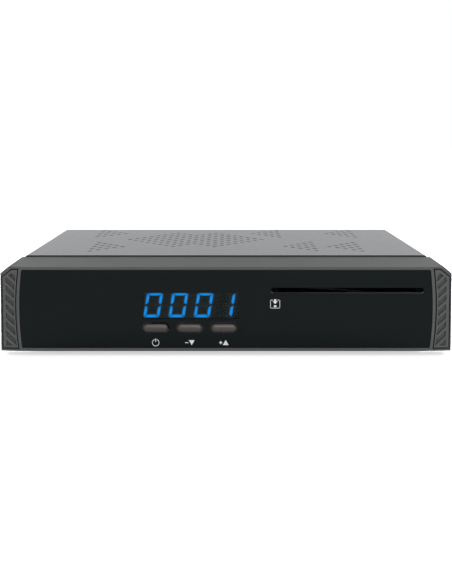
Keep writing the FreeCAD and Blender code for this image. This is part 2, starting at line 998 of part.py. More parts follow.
def contact_window():
    """Middle depth, half width and half length of the reader's contact window."""
    y = reader_back - reader_wall - contact_from_end
    run_x = contact_columns * contact_pitch / 2
    run_y = (contact_row_pitch * (contact_rows - 1)) / 2 + contact_length / 2 + contact_pitch / 2
    return y, run_x, run_y


def make_contacts():
    """Springy contact strips that rise from the reader's board into the card's path."""
    y, run_x, run_y = contact_window()
    rise = slot_z - reader_low - contact_strip
    strips = []
    for row in range(contact_rows):
        start = y + (row - (contact_rows - 1) / 2) * contact_row_pitch - contact_length / 2
        top = [(0, 0), (contact_foot, 0), (contact_length, rise)]
        upper = [(start + a, reader_low + contact_strip + b) for a, b in top]
        lower = [(py, pz - contact_strip) for py, pz in reversed(upper)]
        for column in range(contact_columns):
            x = slot_centre_x + (column - (contact_columns - 1) / 2) * contact_pitch - contact_width / 2
            loop = [vec(x, py, pz) for py, pz in upper + lower]
            strips.append(Part.Face(Part.makePolygon(loop + loop[:1])).extrude(vec(contact_width, 0, 0)))
    return strips


def reader_post_places():
    """Two plain props at the front and two screwed posts behind the reader."""
    x0 = slot_centre_x - reader_board_half + reader_post_inset_x
    x1 = slot_centre_x + reader_board_half - reader_post_inset_x
    props = [(x, reader_board_front + reader_post_inset_y) for x in (x0, x1)]
    screwed = [(x, reader_board_back - reader_post_inset_y) for x in (x0, x1)]
    return props, screwed


def make_reader_board():
    x = slot_centre_x
    half = reader_board_half
    board = box(x - half, x + half, reader_board_front, reader_board_back, reader_board_low, reader_low)
    board = bevel_corners(board, front_board_corner, vec(0, 0, 1))
    props, screwed = reader_post_places()
    hole = screw_radius * small_screw_scale + screw_hole_gap
    return board.cut([bore_z(hole, px, py, 0, cover_top) for px, py in screwed])


def hex_post(x, y, across, z0, z1):
    return bore_z(across / 2, x, y, z0, z1, hex_sides)


def make_reader_posts():
    props, screwed = reader_post_places()
    posts = [hex_post(x, y, reader_post_across, board_top, reader_board_low) for x, y in props]
    bore = screw_radius * small_screw_scale + screw_hole_gap / 2
    for x, y in screwed:
        blank = hex_post(x, y, reader_post_across, board_top, reader_board_low)
        deep = reader_board_low - screw_length
        posts.append(blank.cut(bore_z(bore, x, y, deep, reader_board_low + overrun)))
    return posts


# Steel case

def vent_fan(tip_x, tip_y, side):
    """Triangle of holes that narrows to one hole at its tip."""
    holes = []
    for column in range(fan_size):
        for row in range(column + 1):
            x = tip_x - side * column * vent_step_x
            y = tip_y + (2 * row - column) * vent_step_y
            holes.append((x, y))
    return holes


def vent_diamonds():
    """Two overlapping diamonds of holes, without the holes that they share twice."""
    holes = set()
    spread = diamond_size - 1
    for shift in (0, diamond_offset):
        for i in range(diamond_size):
            for j in range(diamond_size):
                holes.add((i + j - spread + 2 * shift - diamond_offset, i - j))
    y = cover_front + diamond_from_edge
    return [(diamond_x + a * vent_step_x, y + b * vent_step_y) for a, b in sorted(holes)]


def vent_places():
    front = cover_front + side_fan_front
    rear = cover_front + side_fan_rear
    rear_x = side_fan_x + side_fan_rear_shift
    holes = vent_diamonds()
    holes += vent_fan(-side_fan_x, front, 1) + vent_fan(side_fan_x, front, -1)
    holes += vent_fan(-rear_x, rear, 1) + vent_fan(rear_x, rear, -1)
    holes += vent_fan(inner_fan_front_x, cover_front + inner_fan_front, -1)
    holes += vent_fan(inner_fan_rear_x, cover_front + inner_fan_rear, -1)
    return holes


def vent_wire(x, y, z):
    """Outline of a vent hole, as wide open as the round hole that it stands for."""
    turn = 2 * math.pi / vent_sides
    radius = vent_radius * math.sqrt(turn / math.sin(turn))
    angles = [i * turn for i in range(vent_sides)]
    return closed([vec(x + radius * math.cos(a), y + radius * math.sin(a), z) for a in angles])


def bend_points(edge, web, way, radius):
    """Points round a bend, from the web at a height to the wall at an edge."""
    centre = edge - radius
    angles = [math.pi / 2 * i / bend_flats for i in range(bend_flats + 1)]
    return [(centre + radius * math.sin(a), web + way * radius * (1 - math.cos(a))) for a in angles]


def folded_channel(half, y0, y1, web, end, web_end):
    """U-shaped sheet along Y: a flat web with a wall bent along each side to the end height.

    Behind web_end the web and the bends are notched away, and only the walls go on.
    """
    way = math.copysign(1, end - web)
    outer = bend_points(half, web, way, bend_radius + sheet)
    inner = bend_points(half - sheet, web + way * sheet, way, bend_radius)
    right = outer + [(half, end), (half - sheet, end)] + inner[::-1]
    left = [(-x, z) for x, z in reversed(right)]
    channel = prism(outline(right + left), y0, y1)
    notch_low, notch_high = sorted((web - way * overrun, web + way * corner_relief))
    return channel.cut(box(-half - overrun, half + overrun, web_end, y1 + overrun, notch_low, notch_high))


def folded_end(half, y_face, web, end):
    """L-shaped sheet across X: a short web with an upright wall, notched at both ends of its bend."""
    way = math.copysign(1, end - web)
    outer = bend_points(y_face, web, way, bend_radius + sheet)
    inner = bend_points(y_face - sheet, web + way * sheet, way, bend_radius)
    start = y_face - corner_relief
    section = [(start, web)] + outer + [(y_face, end), (y_face - sheet, end)] + inner[::-1]
    section.append((start, web + way * sheet))
    part = Part.Face(closed([vec(-half, y, z) for y, z in section])).extrude(vec(2 * half, 0, 0))
    notch_low, notch_high = sorted((web - way * overrun, web + way * corner_relief))
    for x0, x1 in ((-half - overrun, -half + corner_relief), (half - corner_relief, half + overrun)):
        part = part.cut(box(x0, x1, start - overrun, y_face + overrun, notch_low, notch_high))
    return part


def cover_screw_places():
    """Depths and height of the side screws, then X places and height of the rear screws."""
    depths = (cover_front + side_screw_from_end, case_depth - side_screw_from_end)
    side_z = board_top + screw_radius + side_screw_clear
    rear_x = tray_half - rear_screw_from_side
    lip_z = cover_top - (cover_lip + sheet) / 2
    return depths, side_z, (-rear_x, rear_x), lip_z


def cover_screw_holes(radius):
    depths, side_z, rear_places, lip_z = cover_screw_places()
    holes = []
    for y in depths:
        ring = Part.Face(closed(facet_ring(radius, 0, small_sides, True)))
        holes.append(stand(ring.extrude(vec(0, 0, panel_width)), vec(-panel_half, y, side_z), vec(1, 0, 0)))
    for x in rear_places:
        holes.append(bore_y(radius, x, lip_z, tray_rear_inside - overrun, case_depth + overrun))
    return holes


def make_cover():
    """Folded steel cover with vent holes, two side walls and a rear lip."""
    web_end = case_depth - corner_relief
    channel = folded_channel(cover_half, cover_front, tray_rear, cover_top, cover_skirt, web_end)
    lip = folded_end(cover_half, case_depth, cover_top, cover_top - cover_lip)
    cover = join(channel, lip)
    below = cover_under - overrun
    thickness = sheet + 2 * overrun
    vents = [Part.Face(vent_wire(x, y, below)).extrude(vec(0, 0, thickness)) for x, y in vent_places()]
    cover = cover.cut(Part.makeCompound(vents))
    return cover.cut(cover_screw_holes(screw_radius + screw_hole_gap))


def hook_slots():
    """Slots in the tray that the panel's hooks snap into."""
    root, nose, tip = hook_span()
    gap = hook_slot_gap
    low = tray_inside + tongue_gap + tongue_wall
    start = nose - gap
    end = tip + gap
    side = box(tray_inner - overrun, tray_half + overrun, start, end, low - gap, low + hook_width + gap)
    slots = [side, mirrored(side)]
    reach = hook_width / 2 + gap
    for x in (-floor_hook_x, floor_hook_x):
        slots.append(box(x - reach, x + reach, start, end, tray_floor - overrun, tray_inside + overrun))
    return slots


def floor_vents():
    floor_middle = (cover_front + tray_rear) / 2
    half = floor_vent_width / 2
    reach = floor_vent_length / 2
    below = tray_floor - overrun
    above = tray_inside + overrun
    slots = []
    for row in range(floor_vent_rows):
        y = floor_middle + (row - (floor_vent_rows - 1) / 2) * floor_vent_row_pitch
        for i in range(floor_vent_count):
            x = (i - (floor_vent_count - 1) / 2) * floor_vent_pitch
            slots.append(box(x - half, x + half, y - reach, y + reach, below, above))
    return slots


def socket_cuts():
    """Openings in the rear wall, each a little larger than its socket."""
    gap = socket_cut_gap
    deep = tray_rear_inside - overrun
    out = tray_rear + overrun
    x = socket_x
    mouth = jack_mouth_radius + 2 * gap
    cuts = [
        bore_y(mouth, x["jack"], jack_axis(), deep, out, round_sides),
        bore_y(phono_radius + phono_collar + gap, x["phono"], phono_axis(), deep, out, round_sides),
        prism(outline(usb_profile(gap)), deep, out),
        prism(outline(hdmi_profile(gap)), deep, out),
        prism(outline(scart_profile(gap)), deep, out),
    ]
    for name in ("loop", "lnb"):
        cuts.append(bore_y(aerial_radius + gap, x[name], aerial_z, deep, out, round_sides))
    return cuts


def make_tray():
    """Folded steel tray: floor, two low side walls and the rear wall."""
    wall_end = tray_rear_inside - fit_gap
    side_top = tray_floor + tray_flange
    web_end = tray_rear - corner_relief
    channel = folded_channel(tray_half, cover_front, wall_end, tray_floor, side_top, web_end)
    wall = folded_end(tray_half, tray_rear, tray_floor, cover_under - bend_radius - fit_gap)
    tray = join(channel, wall)
    screw_bores = cover_screw_holes(screw_radius + screw_hole_gap / 2)
    return tray.cut(hook_slots() + floor_vents() + socket_cuts() + screw_bores)


def make_foot(x, y):
    """Soft round foot with a bevelled tread and a shallow hollow under it."""
    profile = [(foot_tip_radius - foot_edge, 0), (foot_tip_radius, foot_edge), (foot_radius, tray_floor)]
    foot = turned(profile, vec(x, y, 0), vec(0, 0, 1), round_sides)
    return foot.cut(pin_z(foot_hollow_radius, x, y, -overrun, foot_hollow_depth))


def foot_places():
    x = tray_half - foot_from_side
    front = cover_front + foot_from_front
    rear = tray_rear - foot_from_rear
    return {
        "front_left_foot": (-x, front), "front_right_foot": (x, front),
        "rear_left_foot": (-x, rear), "rear_right_foot": (x, rear),
    }


# Screws

def make_screw(base, axis, length, scale=1.0):
    """Pan-head screw whose head sits at base and whose shank runs along axis."""
    tall = screw_head_height * scale
    head = turned([(screw_crown_radius * scale, -tall), (screw_head_radius * scale, 0)],
                  vec(0, 0, 0), vec(0, 0, 1), small_sides)
    shank = pin_z(screw_radius * scale, 0, 0, 0, length)
    return stand(join(head, shank), base, axis)


def make_cover_screws():
    depths, side_z, rear_places, lip_z = cover_screw_places()
    screws = []
    for y in depths:
        screws.append(make_screw(vec(-cover_half, y, side_z), vec(1, 0, 0), screw_length))
        screws.append(make_screw(vec(cover_half, y, side_z), vec(-1, 0, 0), screw_length))
    return screws + [make_screw(vec(x, case_depth, lip_z), vec(0, -1, 0), screw_length) for x in rear_places]


def board_screw_places():
    x = board_half - board_hole_inset
    tuner_front = tray_rear_inside - aerial_flange - tuner_length
    depths = (board_front + board_hole_inset, tuner_front - screw_head_radius - board_hole_clear)
    return [(side * x, y) for side in (-1, 1) for y in depths]


# Main board

def make_main_board():
    board = box(-board_half, board_half, board_front, board_back, board_low, board_top)
    board = bevel_corners(board, board_corner, vec(0, 0, 1))
    hole = screw_radius + screw_hole_gap
    return board.cut([bore_z(hole, x, y, 0, cover_top) for x, y in board_screw_places()])


def make_standoffs():
    """Posts riveted to the tray that carry the main board."""
    posts = []
    bore = screw_radius + screw_hole_gap / 2
    for x, y in board_screw_places():
        blank = pin_z(standoff_radius, x, y, tray_inside, board_low)
        posts.append(blank.cut(bore_z(bore, x, y, tray_inside, board_low + overrun)))
    return posts


def power_place():
    """Depth of the row of power parts that stands ahead of the inlet."""
    return board_back - jack_length - capacitor_radius - memory_gap


def coil_place():
    return power_place() - 2 * capacitor_radius - coil_radius


def processor_middle():
    """Far enough ahead of the coils for the memory chips beside the processor."""
    chips_end = memory_length + memory_gap / 2
    return processor_x, coil_place() - coil_radius - processor_from_coils - chips_end


def make_processor():
    x, y = processor_middle()
    half = processor_size / 2
    chip = box(x - half, x + half, y - half, y + half, board_top, board_top + processor_height)
    return bevel_corners(chip, switch_corner, vec(0, 0, 1))


def make_heatsink():
    """Extruded cooler: a base plate with upright fins along Y."""
    x, y = processor_middle()
    half = sink_size / 2
    base = board_top + processor_height
    top = base + sink_height
    pitch = (sink_size - sink_fin) / (sink_fins - 1)
    cooler = box(x - half, x + half, y - half, y + half, base, top)
    gaps = []
    for i in range(sink_fins - 1):
        start = x - half + sink_fin + i * pitch
        end = start + pitch - sink_fin
        gaps.append(box(start, end, y - half - overrun, y + half + overrun, base + sink_base, top + overrun))
    return cooler.cut(gaps)


def make_memory():
    x, y = processor_middle()
    left = x - sink_size / 2 - memory_gap - memory_width
    chips = []
    for side in (-1, 1):
        y0 = y + side * (memory_length / 2 + memory_gap / 2) - memory_length / 2
        y1 = y0 + memory_length
        chips.append(box(left, left + memory_width, y0, y1, board_top, board_top + memory_height))
    return chips


def make_crystal():
    """Oval metal can of the clock crystal."""
    x, y = processor_middle()
    can = pill(crystal_length, crystal_width, x, 0, 0, crystal_height)
    can.rotate(vec(x, 0, 0), vec(1, 0, 0), 90)
    can.translate(vec(0, y - sink_size / 2 - memory_gap - crystal_width, board_top))
    return can


def make_capacitors():
    """Upright cans with the rolled groove near the foot and a bevelled top edge."""
    r = capacitor_radius
    groove = capacitor_foot + capacitor_groove_slope
    profile = [
        (r, 0), (r, capacitor_foot), (r - capacitor_groove, groove), (r, groove + capacitor_groove_slope),
        (r, capacitor_height - capacitor_top_edge), (r - capacitor_top_edge, capacitor_height),
    ]
    cans = []
    for i in range(capacitor_count):
        x = -board_half + board_hole_inset + screw_head_radius + r + i * capacitor_pitch
        cans.append(turned(profile, vec(x, power_place(), board_top), vec(0, 0, 1), small_sides))
    return cans


def make_coils():
    """Drum cores of the power converter."""
    r = coil_radius
    low = coil_flange
    high = coil_height - coil_flange
    waist = [(coil_waist, low + coil_slope), (coil_waist, high - coil_slope)]
    profile = [(r, 0), (r, low)] + waist + [(r, high), (r, coil_height)]
    first = -board_half + board_hole_inset + screw_head_radius + r
    coils = []
    for i in range(2):
        base = vec(first + i * (2 * r + memory_gap), coil_place(), board_top)
        coils.append(turned(profile, base, vec(0, 0, 1), small_sides))
    return coils


def make_link():
    """Pin strip that joins the display board to the main board, and its pins."""
    y0 = board_front + link_set_back
    half = link_pin_count * link_spacing / 2
    y1 = y0 + link_strip_width
    strip = box(module_x - half, module_x + half, y0, y1, board_top, board_top + link_strip_height)
    z = board_top + link_strip_height / 2
    r = link_pin / 2
    holes = []
    pins = []
    for i in range(link_pin_count):
        x = module_x + (i - (link_pin_count - 1) / 2) * link_spacing
        holes.append(box(x - r, x + r, y0 - overrun, y1 + overrun, z - r, z + r))
        pins.append(box(x - r, x + r, front_board_back, y1, z - r, z + r))
    return strip.cut(holes), pins


def make_stack():
    """Tall strip that joins the card reader's board to the main board."""
    half = stack_pin_count * stack_spacing / 2
    y1 = reader_board_back - reader_post_inset_y + stack_width / 2
    strip = box(slot_centre_x - half, slot_centre_x + half, y1 - stack_width, y1, board_top, reader_board_low)
    return strip


# Rear sockets

def jack_axis():
    return board_top + jack_height / 2


def phono_axis():
    return board_top + phono_height / 2


def rectangle(width, height, x, low):
    half = width / 2
    return [(x - half, low), (x + half, low), (x + half, low + height), (x - half, low + height)]


def usb_profile(grow):
    return rectangle(usb_width + 2 * grow, usb_height + 2 * grow, socket_x["usb"], board_top - grow)


def hdmi_profile(grow):
    """Outline with its two lower corners drawn in."""
    x = socket_x["hdmi"]
    half = hdmi_width / 2 + grow
    low = board_top - grow
    high = board_top + hdmi_height + grow
    foot = half - hdmi_corner_in
    knee = low + hdmi_corner_up
    right = [(x + foot, low), (x + half, knee), (x + half, high)]
    left = [(x - half, high), (x - half, knee), (x - foot, low)]
    return right + left


def scart_profile(grow):
    """Outline of the wide audio and video socket, with one corner cut off."""
    x = socket_x["scart"]
    half = scart_width / 2 + grow
    low = board_top - grow
    high = board_top + scart_height + grow
    cut_corner = [(x + half, high - scart_corner), (x + half - scart_corner, high)]
    return [(x - half, low), (x + half, low)] + cut_corner + [(x - half, high)]


def make_jack():
    """Power inlet: a moulded block with a round mouth, and its centre pin."""
    x = socket_x["jack"]
    z = jack_axis()
    half = jack_width / 2
    face = tray_rear_inside
    body = box(x - half, x + half, face - jack_length, face, board_top, board_top + jack_height)
    body = bevel_corners(body, switch_corner)
    tip = tray_rear + socket_proud
    collar = pin_y(jack_mouth_radius + socket_cut_gap, x, z, face, tip, round_sides)
    deep = face - jack_mouth_depth
    hole = bore_y(jack_mouth_radius - socket_cut_gap, x, z, deep, tip + overrun, round_sides)
    return join(body, collar).cut(hole), pin_y(jack_pin_radius, x, z, deep, face)


def make_phono():
    """Digital sound socket: a moulded body, its metal ring with a narrow neck, and its core."""
    x = socket_x["phono"]
    z = phono_axis()
    half = phono_width / 2
    face = tray_rear_inside
    lip = tray_rear + socket_proud
    body = box(x - half, x + half, face - phono_length, face, board_top, board_top + phono_height)
    body = bevel_corners(body, switch_corner)
    body = join(body, pin_y(phono_radius + phono_collar, x, z, face, lip, round_sides))
    inner = phono_radius - phono_shell_wall
    neck = phono_radius - phono_neck_step
    tip = lip + phono_reach
    body = body.cut(pin_y(neck, x, z, face, lip + overrun, round_sides))
    ring = join(pin_y(neck, x, z, face, lip, round_sides), rod(phono_radius, x, z, lip, tip))
    ring = ring.cut(pin_y(inner, x, z, face - overrun, tip + overrun, round_sides))
    core = pin_y(inner, x, z, face, tip - phono_shell_wall, round_sides)
    core = core.cut(bore_y(phono_core_hole, x, z, face + phono_shell_wall, tip + overrun))
    return body, ring, core


def shelled(profile, wall_profile, y0, y1, back):
    """Sheet metal shell of a socket, open to the rear."""
    return prism(outline(profile), y0, y1).cut(prism(outline(wall_profile), y0 + back, y1 + overrun))


def make_usb():
    x = socket_x["usb"]
    end = tray_rear + socket_proud
    start = end - usb_length
    wall = usb_shell_wall
    inner = usb_profile(-wall)
    shell = shelled(usb_profile(0), inner, start, end, wall)
    middle = board_top + usb_height / 2
    block = prism(outline(inner), start + wall, end - usb_tongue_length)
    half = usb_tongue_width / 2
    tongue = box(x - half, x + half, end - usb_tongue_length, end - wall, middle, middle + usb_tongue)
    return shell, join(block, tongue)


def make_hdmi():
    x = socket_x["hdmi"]
    end = tray_rear + socket_proud
    start = end - hdmi_length
    wall = hdmi_shell_wall
    inner = hdmi_profile(-wall)
    shell = shelled(hdmi_profile(0), inner, start, end, wall)
    middle = board_top + hdmi_height / 2
    block = prism(outline(inner), start + wall, end - hdmi_tongue_length)
    half = hdmi_tongue_width / 2
    tongue = box(x - half, x + half, end - hdmi_tongue_length, end - wall, middle, middle + hdmi_tongue)
    return shell, join(block, tongue)


def make_scart():
    """Wide socket: metal shell round a slotted insulating block, with a trench between them."""
    x = socket_x["scart"]
    end = tray_rear + socket_proud
    start = end - scart_length
    wall = scart_shell_wall
    shell = shelled(scart_profile(0), scart_profile(-wall), start, end, wall)
    block = prism(outline(scart_profile(-wall)), start + wall, end - scart_trench_depth)
    nose = prism(outline(scart_profile(-wall - scart_trench)), end - scart_trench_depth, end - wall)
    core = join(block, nose)
    middle = board_top + scart_height / 2
    slots = []
    for row in (-1, 1):
        z = middle + row * scart_row_rise
        for i in range(scart_slots):
            sx = x + (i - (scart_slots - 1) / 2) * scart_slot_pitch + row * scart_slot_pitch / 4
            half = scart_slot_width / 2
            tall = scart_slot_height / 2
            deep = end - wall - scart_slot_depth
            slots.append(box(sx - half, sx + half, deep, end + overrun, z - tall, z + tall))
    return shell, core.cut(slots)


def make_aerial(x):
    """Aerial connector: a barrel with a flange inside the wall and a neck for the nut, and its core."""
    bore = aerial_radius - aerial_wall
    flange_y = tray_rear_inside - aerial_flange
    flange = pin_y(aerial_flange_radius, x, aerial_z, flange_y, tray_rear_inside, round_sides)
    neck = pin_y(aerial_neck, x, aerial_z, tray_rear_inside, nut_end, round_sides)
    barrel = join(flange, neck, rod(aerial_radius, x, aerial_z, nut_end, aerial_tip))
    barrel = barrel.cut(pin_y(bore, x, aerial_z, flange_y - overrun, aerial_tip + overrun, round_sides))
    core = pin_y(bore, x, aerial_z, flange_y, aerial_tip - aerial_core_set_in, round_sides)
    return barrel, core.cut(bore_y(aerial_core_hole, x, aerial_z, tray_rear, aerial_tip))


def make_nut(x):
    start = tray_rear + washer_thickness
    nut = bore_y(nut_across / 2, x, aerial_z, start, nut_end, hex_sides)
    bore = bore_y(aerial_neck + nut_gap, x, aerial_z, start - overrun, nut_end + overrun, round_sides)
    return nut.cut(bore)


def make_washer(x):
    start = tray_rear
    end = start + washer_thickness
    ring = pin_y(washer_radius, x, aerial_z, start, end, round_sides)
    return ring.cut(bore_y(aerial_radius + nut_gap, x, aerial_z, start - overrun, end + overrun, round_sides))


def make_tuner():
    """Screening can of the tuner, open underneath, with cooling slots in its lid."""
    x0 = socket_x["loop"] - aerial_flange_radius - tuner_side_margin
    x1 = socket_x["lnb"] + aerial_flange_radius + tuner_side_margin
    y1 = tray_rear_inside - aerial_flange
    y0 = y1 - tuner_length
    top = board_top + tuner_height
    wall = tuner_wall
    can = box(x0, x1, y0, y1, board_top, top)
    can = bevel_corners(can, switch_corner, vec(0, 0, 1))
    can = can.cut(box(x0 + wall, x1 - wall, y0 + wall, y1 - wall, board_top - overrun, top - wall))
    middle = (x0 + x1) / 2
    half = tuner_slot_length / 2
    slots = []
    for i in range(tuner_slots):
        y = (y0 + y1) / 2 + (i - (tuner_slots - 1) / 2) * tuner_slot_pitch
        end = y + tuner_slot_width
        slots.append(box(middle - half, middle + half, y, end, top - 2 * wall, top + overrun))
    return can.cut(slots)


def build():
    os.makedirs("parts", exist_ok=True)
    save("front_bezel", make_front_bezel())
    save("front_window", make_window())
    cheek = make_cheek()
    save("right_cheek", cheek)
    save("left_cheek", mirrored(cheek))
    for name, x in zip(("power", "channel_down", "channel_up"), key_centres):
        save(name + "_button", make_key(x))
        save(name + "_plunger", make_plunger(x))
    save("key_switches", *[make_switch(x) for x in key_centres])
    save("key_guide", make_key_guide())
    save("display_board", make_front_board())
    save("display_module", make_module())
    save("lit_segments", *make_bars(True))
    save("dark_segments", *make_bars(False))
    save("remote_eye", make_eye())
    small = small_screw_scale
    forward = vec(0, -1, 0)
    save("display_board_screws", *[
        make_screw(vec(x, front_board_back, z), forward, screw_length, small) for x, z in boss_places()])

    save("card_reader_body", make_reader())
    save("card_contacts", *make_contacts())
    save("card_reader_board", make_reader_board())
    save("card_reader_posts", *make_reader_posts())
    props, screwed = reader_post_places()
    save("card_reader_screws", *[
        make_screw(vec(x, y, reader_low), vec(0, 0, -1), screw_length, small) for x, y in screwed])
    save("stacking_header", make_stack())

    save("top_cover", make_cover())
    save("base_tray", make_tray())
    for name, (x, y) in foot_places().items():
        save(name, make_foot(x, y))
    save("cover_screws", *make_cover_screws())

    save("main_board", make_main_board())
    save("board_standoffs", *make_standoffs())
    save("board_screws", *[
        make_screw(vec(x, y, board_top), vec(0, 0, -1), screw_length) for x, y in board_screw_places()])
    save("processor", make_processor())
    save("heatsink", make_heatsink())
    save("memory_chips", *make_memory())
    save("clock_crystal", make_crystal())
    save("capacitors", *make_capacitors())
    save("power_coils", *make_coils())
    strip, pins = make_link()
    save("link_header", strip)
    save("link_pins", *pins)
    save("tuner_can", make_tuner())

    jack, pin = make_jack()
    save("power_inlet", jack)
    save("power_inlet_pin", pin)
    body, ring, core = make_phono()
    save("phono_socket", body)
    save("phono_ring", ring)
    save("phono_core", core)
    for name, maker in (("usb", make_usb), ("hdmi", make_hdmi), ("scart", make_scart)):
        shell, core = maker()
        save(name + "_shell", shell)
        save(name + "_core", core)
    cores = []
    for name in ("loop", "lnb"):
        barrel, core = make_aerial(socket_x[name])
        save(name + "_connector", barrel)
        cores.append(core)
    save("connector_cores", *cores)
    save("connector_nuts", *[make_nut(socket_x[name]) for name in ("loop", "lnb")])
    save("connector_washers", *[make_washer(socket_x[name]) for name in ("loop", "lnb")])
    print("whole depth", round(aerial_tip - front_most, 3), "middle at", round(middle_y, 3))
    print("vent holes", len(vent_places()), "gap between rear sockets", round(rear_gap, 3))


build()
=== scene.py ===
# %% [markdown]
# # A compact satellite receiver
# The pieces of this receiver already exist at their real size. This lesson loads them, lights
# them, and then gives each one its finish or models it anew with finer edges. Everything is in
# metres; `mm` keeps the sizes readable. X runs to the right, Y to the rear and Z up.

# %% Load the frame
import bpy
import json
import math
from mathutils import Matrix, Vector


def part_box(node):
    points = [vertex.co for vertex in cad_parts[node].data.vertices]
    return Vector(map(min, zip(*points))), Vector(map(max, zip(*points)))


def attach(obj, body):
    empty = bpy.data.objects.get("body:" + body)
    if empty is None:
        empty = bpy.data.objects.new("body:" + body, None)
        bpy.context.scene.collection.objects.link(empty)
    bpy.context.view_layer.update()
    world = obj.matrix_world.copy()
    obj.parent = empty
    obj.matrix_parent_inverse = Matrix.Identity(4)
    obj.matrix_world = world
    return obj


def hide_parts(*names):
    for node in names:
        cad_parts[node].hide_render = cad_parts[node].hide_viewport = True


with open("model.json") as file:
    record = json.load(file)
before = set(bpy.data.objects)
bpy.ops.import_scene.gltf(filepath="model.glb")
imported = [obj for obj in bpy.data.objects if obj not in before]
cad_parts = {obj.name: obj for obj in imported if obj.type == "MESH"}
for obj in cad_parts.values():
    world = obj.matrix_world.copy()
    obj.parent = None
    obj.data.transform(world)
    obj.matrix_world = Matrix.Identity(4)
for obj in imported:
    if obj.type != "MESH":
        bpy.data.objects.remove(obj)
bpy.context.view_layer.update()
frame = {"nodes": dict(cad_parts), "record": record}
nodes = frame["nodes"]
mm = 0.001

# %% [markdown]
# ## Camera
# A picture can be measured back to its camera. The depth lines of the object meet at one
# point above it, and the rear edge of the cover is 0.8 as wide as its front edge: a least
# squares fit to a dozen edges puts the lens 420 mm ahead of the panel and 90.5 mm above the
# floor. Half of the downward look is a tilt. The rest is a shift, as with a view camera, which
# keeps the upright edges parallel.

# %% Place the camera
panel_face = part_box("front_bezel")[0].y
camera_distance = 419.9 * mm
camera_height = 90.5 * mm
camera_tilt = math.radians(4.3)

bpy.ops.object.camera_add(location=(0, panel_face - camera_distance, camera_height),
                          rotation=(math.pi / 2 - camera_tilt, 0, 0))
camera = bpy.context.object
camera.name = "photo_camera"
camera.data.sensor_width = 36
camera.data.lens = 65.6
camera.data.shift_y = -0.142
bpy.context.scene.camera = camera
print("camera", [round(v / mm, 1) for v in camera.location], "lens", round(camera.data.lens, 1))

# %% [markdown]
# ## Finishes in nodes
# A finish is a small graph of nodes around one main shader. Two helpers are enough: one turns
# an sRGB hex colour into linear light, the other adds any node with its settings and links.

# %% Colour and node helpers
def linear(hex_colour):
    """Linear red, green, blue and alpha of an sRGB hex value."""
    parts = [int(hex_colour[i:i + 2], 16) / 255 for i in (1, 3, 5)]
    return [p / 12.92 if p <= 0.04045 else ((p + 0.055) / 1.055) ** 2.4 for p in parts] + [1.0]


def add(tree, kind, inputs, **settings):
    """One node: settings are its attributes, inputs its socket values or the sockets that feed them."""
    node = tree.nodes.new("ShaderNode" + kind)
    for name, value in settings.items():
        setattr(node, name, value)
    for name, value in inputs.items():
        if isinstance(value, bpy.types.NodeSocket):
            tree.links.new(value, node.inputs[name])
        else:
            node.inputs[name].default_value = value
    return node.outputs


def start(name, **sockets):
    """New material with its tree and main shader; sockets are values for the shader."""
    material = bpy.data.materials.new(name)
    material.use_nodes = True
    shader = material.node_tree.nodes["Principled BSDF"]
    for socket, value in sockets.items():
        shader.inputs[socket.replace("_", " ")].default_value = value
    return material, material.node_tree, shader


def feed(tree, shader, **sockets):
    """Link node outputs to sockets of the main shader."""
    for socket, output in sockets.items():
        tree.links.new(output, shader.inputs[socket.replace("_", " ")])


print("mid grey in linear light", round(linear("#808080")[0], 3))

# %% [markdown]
# ## Floor and light
# The receiver stands on white paper in a pale room. The paper is lit like everything else, so
# that it keeps the soft shadow, and a little glow that only the camera sees lifts it to white.
# The room is white to the camera and in reflections, but lights the object more gently.

# %% White paper floor
bpy.ops.mesh.primitive_plane_add(size=8)
floor = bpy.context.object
floor.name = "studio_floor"
paper, tree, shader = start("white_paper", Base_Color=linear("#f4f4f4"), Roughness=0.9)
rays = add(tree, "LightPath", {})
seen = add(tree, "Math", {0: rays["Is Camera Ray"], 1: 0.62}, operation="MULTIPLY")
glow = add(tree, "Emission", {"Color": (1, 1, 1, 1), "Strength": seen[0]})
both = add(tree, "AddShader", {0: shader.outputs[0], 1: glow[0]})
tree.links.new(both[0], tree.nodes["Material Output"].inputs["Surface"])
floor.data.materials.append(paper)
print("floor", tuple(floor.dimensions))

# %% Pale room
room_light = 0.43
world = bpy.data.worlds.new("pale_room")
bpy.context.scene.world = world
world.use_nodes = True
tree = world.node_tree
rays = add(tree, "LightPath", {})
direct = add(tree, "Math", {0: rays["Is Camera Ray"], 1: rays["Is Glossy Ray"]}, operation="ADD")
direct = add(tree, "Math", {0: direct[0], 1: rays["Is Transmission Ray"]}, operation="ADD", use_clamp=True)
strength = add(tree, "MapRange", {"Value": direct[0], "To Min": room_light, "To Max": 1.0})
tree.nodes["Background"].inputs["Color"].default_value = (1, 1, 1, 1)
tree.links.new(strength["Result"], tree.nodes["Background"].inputs["Strength"])
print("room light", room_light)

# %% [markdown]
# Two broad lamps light the room from above and from the front. Two small ones hang low over the
# rear corners, and make the cover lighter to the rear and to the sides, as in the photograph.

# %% Lamps
def lamp(name, place, target, size, power):
    """Round soft lamp that faces a target."""
    aim = [b - a for a, b in zip(place, target)]
    turn = (math.atan2(math.hypot(aim[0], aim[1]), -aim[2]), 0, math.atan2(-aim[0], aim[1]))
    bpy.ops.object.light_add(type="AREA", location=place, rotation=turn)
    light = bpy.context.object
    light.name = name
    light.data.shape = "DISK"
    light.data.size = size
    light.data.energy = power


lamp("overhead_lamp", (-0.1, 0.25, 1.1), (0, 0, 0), 0.9, 0.4)
lamp("front_lamp", (0.25, -1.1, 0.6), (0, 0, 0.02), 0.8, 4.6)
for side in (-1, 1):
    lamp("rear_corner_lamp", (side * 0.25, 0.13, 0.18), (side * 0.04, 0.04, 0.04), 0.14, 0.5)
bpy.context.scene.view_settings.view_transform = "Standard"

